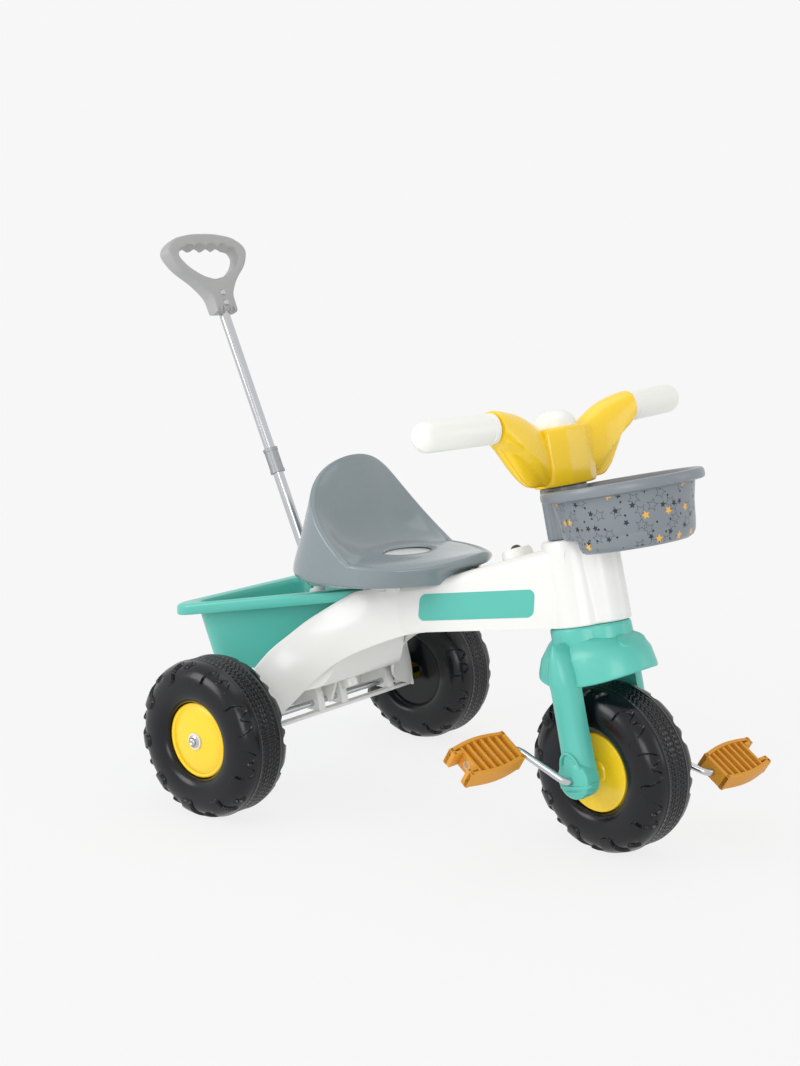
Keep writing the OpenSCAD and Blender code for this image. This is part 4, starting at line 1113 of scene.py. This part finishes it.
class TRIKE_OT_wheels(bpy.types.Operator):
    """Black tyres with raised tread and yellow hubs"""
    bl_idname = "trike.wheels"
    bl_label = "Wheels"

    def execute(self, context):
        s = sizes()
        tyre = sheet(self.tyre_rows(s), looped=True)
        face = s.tyre_w / 2 - s.hub_inset
        crowned = turned(self.crowned(s, face))
        dished = turned(self.dished(s, face))
        # the right wheel is turned a little, so that the two sides are not in step
        for side, sign, turn in (("left", 1, 0), ("right", -1, 8)):
            body = "rear_wheel_" + side
            place = REAR_FRAME @ shift(0, sign * s.track / 2, s.wheel_r) @ sided(sign)
            # the tyre's moulding closes the wheel on its inner side
            web = turned([(11.4, -26), (30, -28.5), (s.hub_r + 1, -27), (s.hub_r + 1, -22), (30, -24.5),
                          (11.4, -22)], 72)
            finish([copied(tyre), web], "Rear_tyre_" + side, place @ spin(turn, "Y"), body,
                   ["rear_tyre_" + side], "tyre_black", 40)
            self.cap(s, side, sign)
            finish([copied(crowned)], "Rear_hub_" + side, place, body, ["rear_hub_" + side], "yellow", 40)
        for side, sign in SIDES[::-1]:
            finish([copied(dished)], "Front_hub_" + side, STEERED_FRAME @ sided(sign), "front_wheel",
                   ["front_hub_" + side], "yellow", 40)
        finish([tyre], "Front_tyre", STEERED_FRAME @ spin(14, "Y"), "front_wheel", ["front_tyre"],
               "tyre_black", 40)
        for spare in (crowned, dished):
            bpy.data.objects.remove(spare)
        return {"FINISHED"}

    def cap(self, s, side, sign):
        """Domed push-on cap with a dimple, in the place of the CAD cap."""
        lo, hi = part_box("axle_cap_" + side)
        foot, top = sorted((abs(lo[1]) / MM, abs(hi[1]) / MM))
        r = (hi[2] - lo[2]) / 2 / MM
        cap = turned([(POLE, foot), (r, foot), (r, foot + 1), (r * 0.86, foot + 1.8), (r * 0.7, foot + 2.2),
                      (r * 0.64, top - 1.4), (r * 0.5, top - 0.3), (r * 0.36, top), (r * 0.22, top - 1),
                      (POLE, top - 1.3)], 48)
        moved(cap, shift(0, 0, s.wheel_r) @ sided(sign))
        finish([close(cap)], "Axle_cap_" + side, REAR_FRAME, "frame", ["axle_cap_" + side], "chrome", 40)

    def tyre_rows(self, s):
        """Blow-moulded tyre: smooth side, raised band with tabs over the shoulder and small tread blocks."""
        # half width and radius of the plain tyre at its drawn size, 75 wide and 95 over the tread
        base = [(0, 92), (9, 92), (16, 91.9), (22, 91), (27, 88.8), (31.4, 85.2), (34.6, 80), (36.6, 73),
                (37.4, 65), (36.6, 57), (34, 51), (30, 47.4), (26, 46.2), (12, 46.2)]
        half = spline([(y * s.tyre_w / 75, r * s.wheel_r / 95 if r > 60 else r) for y, r in base], 9)
        # arc length from the middle of the tread, then points spread closer over the tread
        length = [0.0]
        for p, q in zip(half, half[1:]):
            length.append(length[-1] + math.dist(p, q))
        fine, coarse, tread_end = 0.85, 3.2, 49.3
        marks = [fine * i for i in range(58)]
        marks += [tread_end + coarse * i for i in range(int((length[-1] - tread_end) / coarse) + 1)]

        def at(mark):
            i = max(j for j in range(len(length) - 1) if length[j] <= mark)
            t = (mark - length[i]) / (length[i + 1] - length[i])
            along = Vector(half[i + 1]) - Vector(half[i])
            return lerp(half[i], half[i + 1], t), Vector((-along.y, along.x)).normalized()

        side = [(mark, *at(mark)) for mark in marks]
        rows = []
        for a in turns(540):
            row = []
            for sign in (1, -1):
                line = []
                for mark, (y, r), normal in side:
                    lift = self.tread(mark, math.degrees(a), sign)
                    y2, r2 = y + normal.x * lift, r + normal.y * lift
                    line.append((r2 * cos(a), sign * y2, r2 * sin(a)))
                row += line[::-1] if sign > 0 else line[1:]
            rows.append(row)
        return rows

    def tread(self, mark, angle, sign):
        """Height of the tread at a distance from the middle line and an angle, on one side of that line."""
        # tabs ten times round, half a pitch apart on the two sides; small blocks in rows
        pitch, tab_half, block_deep, block_turn = 36, 6, 4.6, 4.0
        band_high, line_high, groove_deep = 3, 0.7, 1.1
        half = pitch / 2
        reach = abs((angle + (half if sign < 0 else 0)) % pitch - half)
        if reach < tab_half:
            edge = 47 - 5 * (reach / tab_half) ** 4
        elif reach > 15.4:
            edge = 23.5 + 7.5 * max(0, 1 - ((half - reach) / 2.6) ** 2) ** 0.5
        else:
            edge = 22 + 0.35 * (reach - 12) ** 2
        lift = band_high * step(-edge, -mark, 1.8)
        lift += line_high * math.exp(-((mark - 15.5) / 0.8) ** 2)
        if mark < 13.6:
            row = int(mark / block_deep)
            gap = abs(((angle / block_turn + 0.5 * row * sign) % 1) - 0.5)
            across = abs((mark % block_deep) - block_deep / 2)
            lift -= groove_deep * max(step(0.36, gap, 0.12), step(1.7, across, 0.7))
        return lift

    def crowned(self, s, f):
        """Rear hub disc with its face at f, domed, with a groove inside its rim."""
        r, bore = s.hub_r, s.axle_r + 0.2
        return [(bore, f - 5), (r - 3, f - 22), (r - 0.4, f - 22), (r - 0.2, f - 6), (r - 1.2, f - 3.4),
                (r - 3, f - 2.8), (r - 5, f - 3.6), (r - 6, f - 3), (30, f - 1), (14, f - 0.2), (12, f + 0.2),
                (bore, f + 0.2)]

    def dished(self, s, f):
        """Front hub with its face at f, a shallow cone towards the axle with a raised boss."""
        r, bore = s.hub_r, s.axle_r + 0.2
        return [(bore, f - 12), (r - 3, f - 22), (r - 0.4, f - 22), (r - 0.2, f - 1.4), (r - 1, f - 0.2),
                (r - 2.6, f), (r - 4.6, f - 0.8), (17, f - 3.4), (14, f - 3), (13, f - 1.6), (11.6, f - 1),
                (bore, f - 0.8)]


class TRIKE_OT_cranks(bpy.types.Operator):
    """Bent crank rod and the two pedals"""
    bl_idname = "trike.cranks"
    bl_label = "Cranks and pedals"

    def execute(self, context):
        s = sizes()
        out = s.leg_in + s.leg_t
        start, bend, bend_r = out + 7, out + 34, 9
        inner = bend + 8
        end = inner + s.pedal_len - 14
        places = {side: STEERED_FRAME.inverted() @ Vector(joints["pedal_" + side + "_spin"]["pos_m"])
                  for side, _ in SIDES}
        path = []
        for side, sign in SIDES:
            d = places[side]
            inside, root = (0, sign * (start - 7), 0), (0, sign * start, 0)
            elbow, wrist = (d.x, sign * bend, d.z), (d.x, sign * (bend + bend_r), d.z)
            track = [(0, sign * (start - 14), 0), inside]
            track += self.rounded(inside, root, elbow, bend_r) + self.rounded(root, elbow, wrist, bend_r)
            track += [wrist, (d.x, sign * (inner + 20), d.z), (d.x, sign * end, d.z)]
            path = path + track if path else track[::-1]
        parts = [tube_along(path, s.axle_r, 24)]
        for side, sign in SIDES:
            nut = turned([(3.4, end - 2.4), (7, end - 2.4), (7, end - 1.6), (5.4, end - 0.8), (5, end + 0.6),
                          (3.4, end + 0.6)], 40)
            parts.append(close(moved(nut, shift(places[side].x, 0, places[side].z) @ sided(sign))))
        finish(parts, "Crank_rod", STEERED_FRAME, "front_wheel",
               ["crank_axle", "pedal_cap_right", "pedal_cap_left"], "chrome", 50)
        pedal = self.pedal(s)
        for side, sign in SIDES:
            spot = STEERED_FRAME @ shift(places[side].x, sign * inner, places[side].z) @ spin(45, "Y")
            finish([copied(pedal)], "Pedal_" + side, spot @ sided(sign), side + "_pedal", ["pedal_" + side],
                   "ochre", 30)
        bpy.data.objects.remove(pedal)
        return {"FINISHED"}

    def rounded(self, before, corner, after, reach):
        """Bend of the rod round a corner."""
        p, c, q = Vector(before), Vector(corner), Vector(after)
        a = c + (p - c).normalized() * min(reach, (p - c).length)
        b = c + (q - c).normalized() * reach
        return [tuple(a * (1 - t) ** 2 + c * 2 * t * (1 - t) + b * t * t) for t in fan(1, 8)]

    def pedal(self, s):
        """Bowed frame, six bars across, a notch in the outer end."""
        w, length, t = s.pedal_w / 2, s.pedal_len, s.pedal_t / 2
        notch, rail, bars = 13, 4.6, 6
        parts = []
        for side in (-1, 1):
            rows = []
            for turn in fan(1, 16):
                y = length * turn
                x = side * (w - 5 + 5 * sin(pi * turn))
                soft, inside = x - side * 0.8, x - side * rail
                rows.append([(x, y, -t + 1), (soft, y, -t), (inside, y, -t), (inside, y, t), (soft, y, t),
                             (x, y, t - 1)])
            parts.append(sheet(capped(rows)))
        parts.append(block((-w + 4, 0, -t), (w - 4, 5, t), 0.8))
        for side in (-1, 1):
            x0, x1 = sorted((side * 10.5, side * (w - 4.2)))
            parts.append(block((x0, length - 5, -t), (x1, length, t), 0.8))
            x = side * 12.5
            parts.append(block((x - 2.2, length - notch, -t), (x + 2.2, length - 0.4, t), 0.8))
        for i in range(1, bars + 1):
            y = i * (length - notch - 5) / bars
            parts.append(block((-w + 3, y + 0.6, -t), (w - 3, y + 4.4, t - 0.6), 0.7))
        return close(joined(parts))


class TRIKE_OT_hardware(bpy.types.Operator):
    """Finishes of the tubes, rods, caps and screws that stay as they are in the CAD"""
    bl_idname = "trike.hardware"
    bl_label = "Hardware"

    def execute(self, context):
        # the sleeve of the tube joint is duller than the bright rods and screws
        satin = plated("Satin plated steel", linear("#A2A3A6"), 0.42)
        dull = moulding("Natural polyamide", linear("#E6E4DA"), 0.45)
        for name, obj in frame["nodes"].items():
            if "washer" in name or "bush" in name:
                material = dull
            elif name == "joint_collar":
                material = satin
            else:
                material = steel()
            obj.data.materials.clear()
            obj.data.materials.append(material)
        return {"FINISHED"}


class TRIKE_OT_label(bpy.types.Operator):
    """Plain teal film with rounded ends on both sides of the beam"""
    bl_idname = "trike.label"
    bl_label = "Side film"

    def execute(self, context):
        s = sizes()
        film = moulding("Printed vinyl film", shade(colours().teal, 0.96), 0.3, spread=0.02)
        mid, half_long, half_high = 265, 83, 16
        for side, sign in SIDES:
            rows = []
            for v in [t - 1 for t in fan(2, 12)]:
                row = []
                for u in [t - 1 for t in fan(2, 40)]:
                    # rounded band that follows the beam's side
                    x = mid + half_long * u * (1 - 0.08 * v ** 6)
                    z = 263.5 + (x - mid) * 0.178 + half_high * v
                    part = (z - beam_low(x)) / (beam_top(x) - beam_low(x))
                    y = s.beam_half - 0.6 * min(1, part / 0.3) - 2.0 * max(0, (part - 0.3) / 0.3)
                    row.append((x, sign * (y + 0.35), z))
                rows.append(row)
            obj = sheet(rows, closed=False)
            if obj.data.polygons[0].normal.y * sign < 0:
                obj.data.flip_normals()
            apply(obj, "SOLIDIFY", thickness=0.3, offset=-1)
            finish([obj], "Side_film_" + side, REAR_FRAME, "frame", [], "teal", material=film)
        return {"FINISHED"}


class TRIKE_OT_stage(bpy.types.Operator):
    """Pale floor, soft lamps, background and the camera"""
    bl_idname = "trike.stage"
    bl_label = "Studio"

    def execute(self, context):
        scene = context.scene
        scene.view_settings.view_transform = "Standard"
        pale = colours().floor
        self.floor(pale)
        self.world(scene, pale)
        # name, place and aim in metres, watts and width
        for lamp in (("Key softbox", (-1.2, -1.9, 1.3), (0.1, 0, 0.3), 20, 1.2),
                     ("Front softbox", (1.3, -1.8, 0.9), (0.2, 0, 0.3), 11.5, 1.0),
                     ("Side softbox", (1.9, 0.9, 0.9), (0.2, 0, 0.3), 3, 0.9),
                     ("Top softbox", (0.1, 0.2, 2.2), (0.1, 0, 0.3), 6, 1.4)):
            self.lamp(*lamp)
        camera = bpy.data.cameras.new("Photo_camera")
        camera.sensor_width = 36
        camera.lens = 56.13
        scene.camera = self.aimed("Photo_camera", camera, (AXLE_X + 1.3827, -1.5376, 0.6974),
                                  (AXLE_X + 0.12168, 0, 0.32604))
        return {"FINISHED"}

    def aimed(self, name, data, place, aim):
        """Lamp or camera that faces a point."""
        obj = bpy.data.objects.new(name, data)
        bpy.context.scene.collection.objects.link(obj)
        obj.location = place
        obj.rotation_euler = (Vector(aim) - Vector(place)).to_track_quat("-Z", "Y").to_euler()
        return obj

    def lamp(self, name, place, aim, energy, width):
        """Square softbox that faces a point."""
        light = bpy.data.lights.new(name, "AREA")
        light.energy = energy
        light.size = width
        self.aimed(name, light, place, aim)

    def seen(self, tree):
        """1 for rays from the camera, from gloss and through glass."""
        path = node(tree, "ShaderNodeLightPath").outputs
        gloss = calc(tree, "MAXIMUM", path["Is Camera Ray"], path["Is Glossy Ray"])
        return calc(tree, "MAXIMUM", gloss, path["Is Transmission Ray"])

    def floor(self, pale):
        """Wide floor that shows the background's colour and a faint shadow."""
        deselect()
        bpy.ops.mesh.primitive_plane_add(size=30)
        obj = bpy.context.object
        obj.name = "Floor"
        material, tree = empty("Matte paper")
        glow = node(tree, "ShaderNodeEmission", {"Color": pale, "Strength": 1.0})
        paper = node(tree, "ShaderNodeBsdfDiffuse", {"Color": pale})
        # the shadow is kept round the object, and far off the floor runs into the background
        place = node(tree, "ShaderNodeTexCoord").outputs["Object"]
        away = node(tree, "ShaderNodeVectorMath", {0: place}, operation="LENGTH").outputs["Value"]
        fade = node(tree, "ShaderNodeMapRange", {"Value": away, "From Min": 0.45, "From Max": 1.1,
                                                 "To Min": 0.88, "To Max": 1.0}).outputs[0]
        share = calc(tree, "MULTIPLY", self.seen(tree), fade)
        both = node(tree, "ShaderNodeMixShader", {0: share, 1: paper.outputs[0], 2: glow.outputs[0]})
        node(tree, "ShaderNodeOutputMaterial", {"Surface": both.outputs[0]})
        obj.data.materials.append(material)

    def world(self, scene, pale):
        """Even studio light, with the pale background where it is seen."""
        world = bpy.data.worlds.new("Studio")
        scene.world = world
        world.use_nodes = True
        tree = world.node_tree
        tree.nodes.clear()
        seen = node(tree, "ShaderNodeBackground", {"Color": pale, "Strength": 1.0})
        light = node(tree, "ShaderNodeBackground", {"Color": (1, 1, 1, 1), "Strength": 0.67})
        both = node(tree, "ShaderNodeMixShader",
                    {0: self.seen(tree), 1: light.outputs[0], 2: seen.outputs[0]})
        node(tree, "ShaderNodeOutputWorld", {"Surface": both.outputs[0]})


PIECES = (TRIKE_OT_hardware, TRIKE_OT_frame, TRIKE_OT_seat, TRIKE_OT_bucket, TRIKE_OT_push_grip,
          TRIKE_OT_fork, TRIKE_OT_handlebar, TRIKE_OT_basket, TRIKE_OT_wheels, TRIKE_OT_cranks,
          TRIKE_OT_label, TRIKE_OT_stage)


class TRIKE_PT_panel(bpy.types.Panel):
    """Sidebar list of the trike's builders"""
    bl_idname = "TRIKE_PT_panel"
    bl_label = "Trike"
    bl_space_type = "VIEW_3D"
    bl_region_type = "UI"
    bl_category = "Trike"

    def draw(self, context):
        for piece in PIECES:
            self.layout.operator(piece.bl_idname)


CLASSES = (TRIKE_PG_sizes, TRIKE_PG_colours) + PIECES + (TRIKE_PT_panel,)


def register():
    """Adds the classes and the scene's properties."""
    for made in CLASSES:
        bpy.utils.register_class(made)
    bpy.types.Scene.trike_sizes = PointerProperty(type=TRIKE_PG_sizes)
    bpy.types.Scene.trike_colours = PointerProperty(type=TRIKE_PG_colours)


def unregister():
    """Removes them again."""
    del bpy.types.Scene.trike_colours
    del bpy.types.Scene.trike_sizes
    for made in reversed(CLASSES):
        bpy.utils.unregister_class(made)


def main():
    """Builds all pieces in order."""
    register()
    for piece in PIECES:
        group, name = piece.bl_idname.split(".")
        getattr(getattr(bpy.ops, group), name)()


if __name__ == "__main__":
    main()
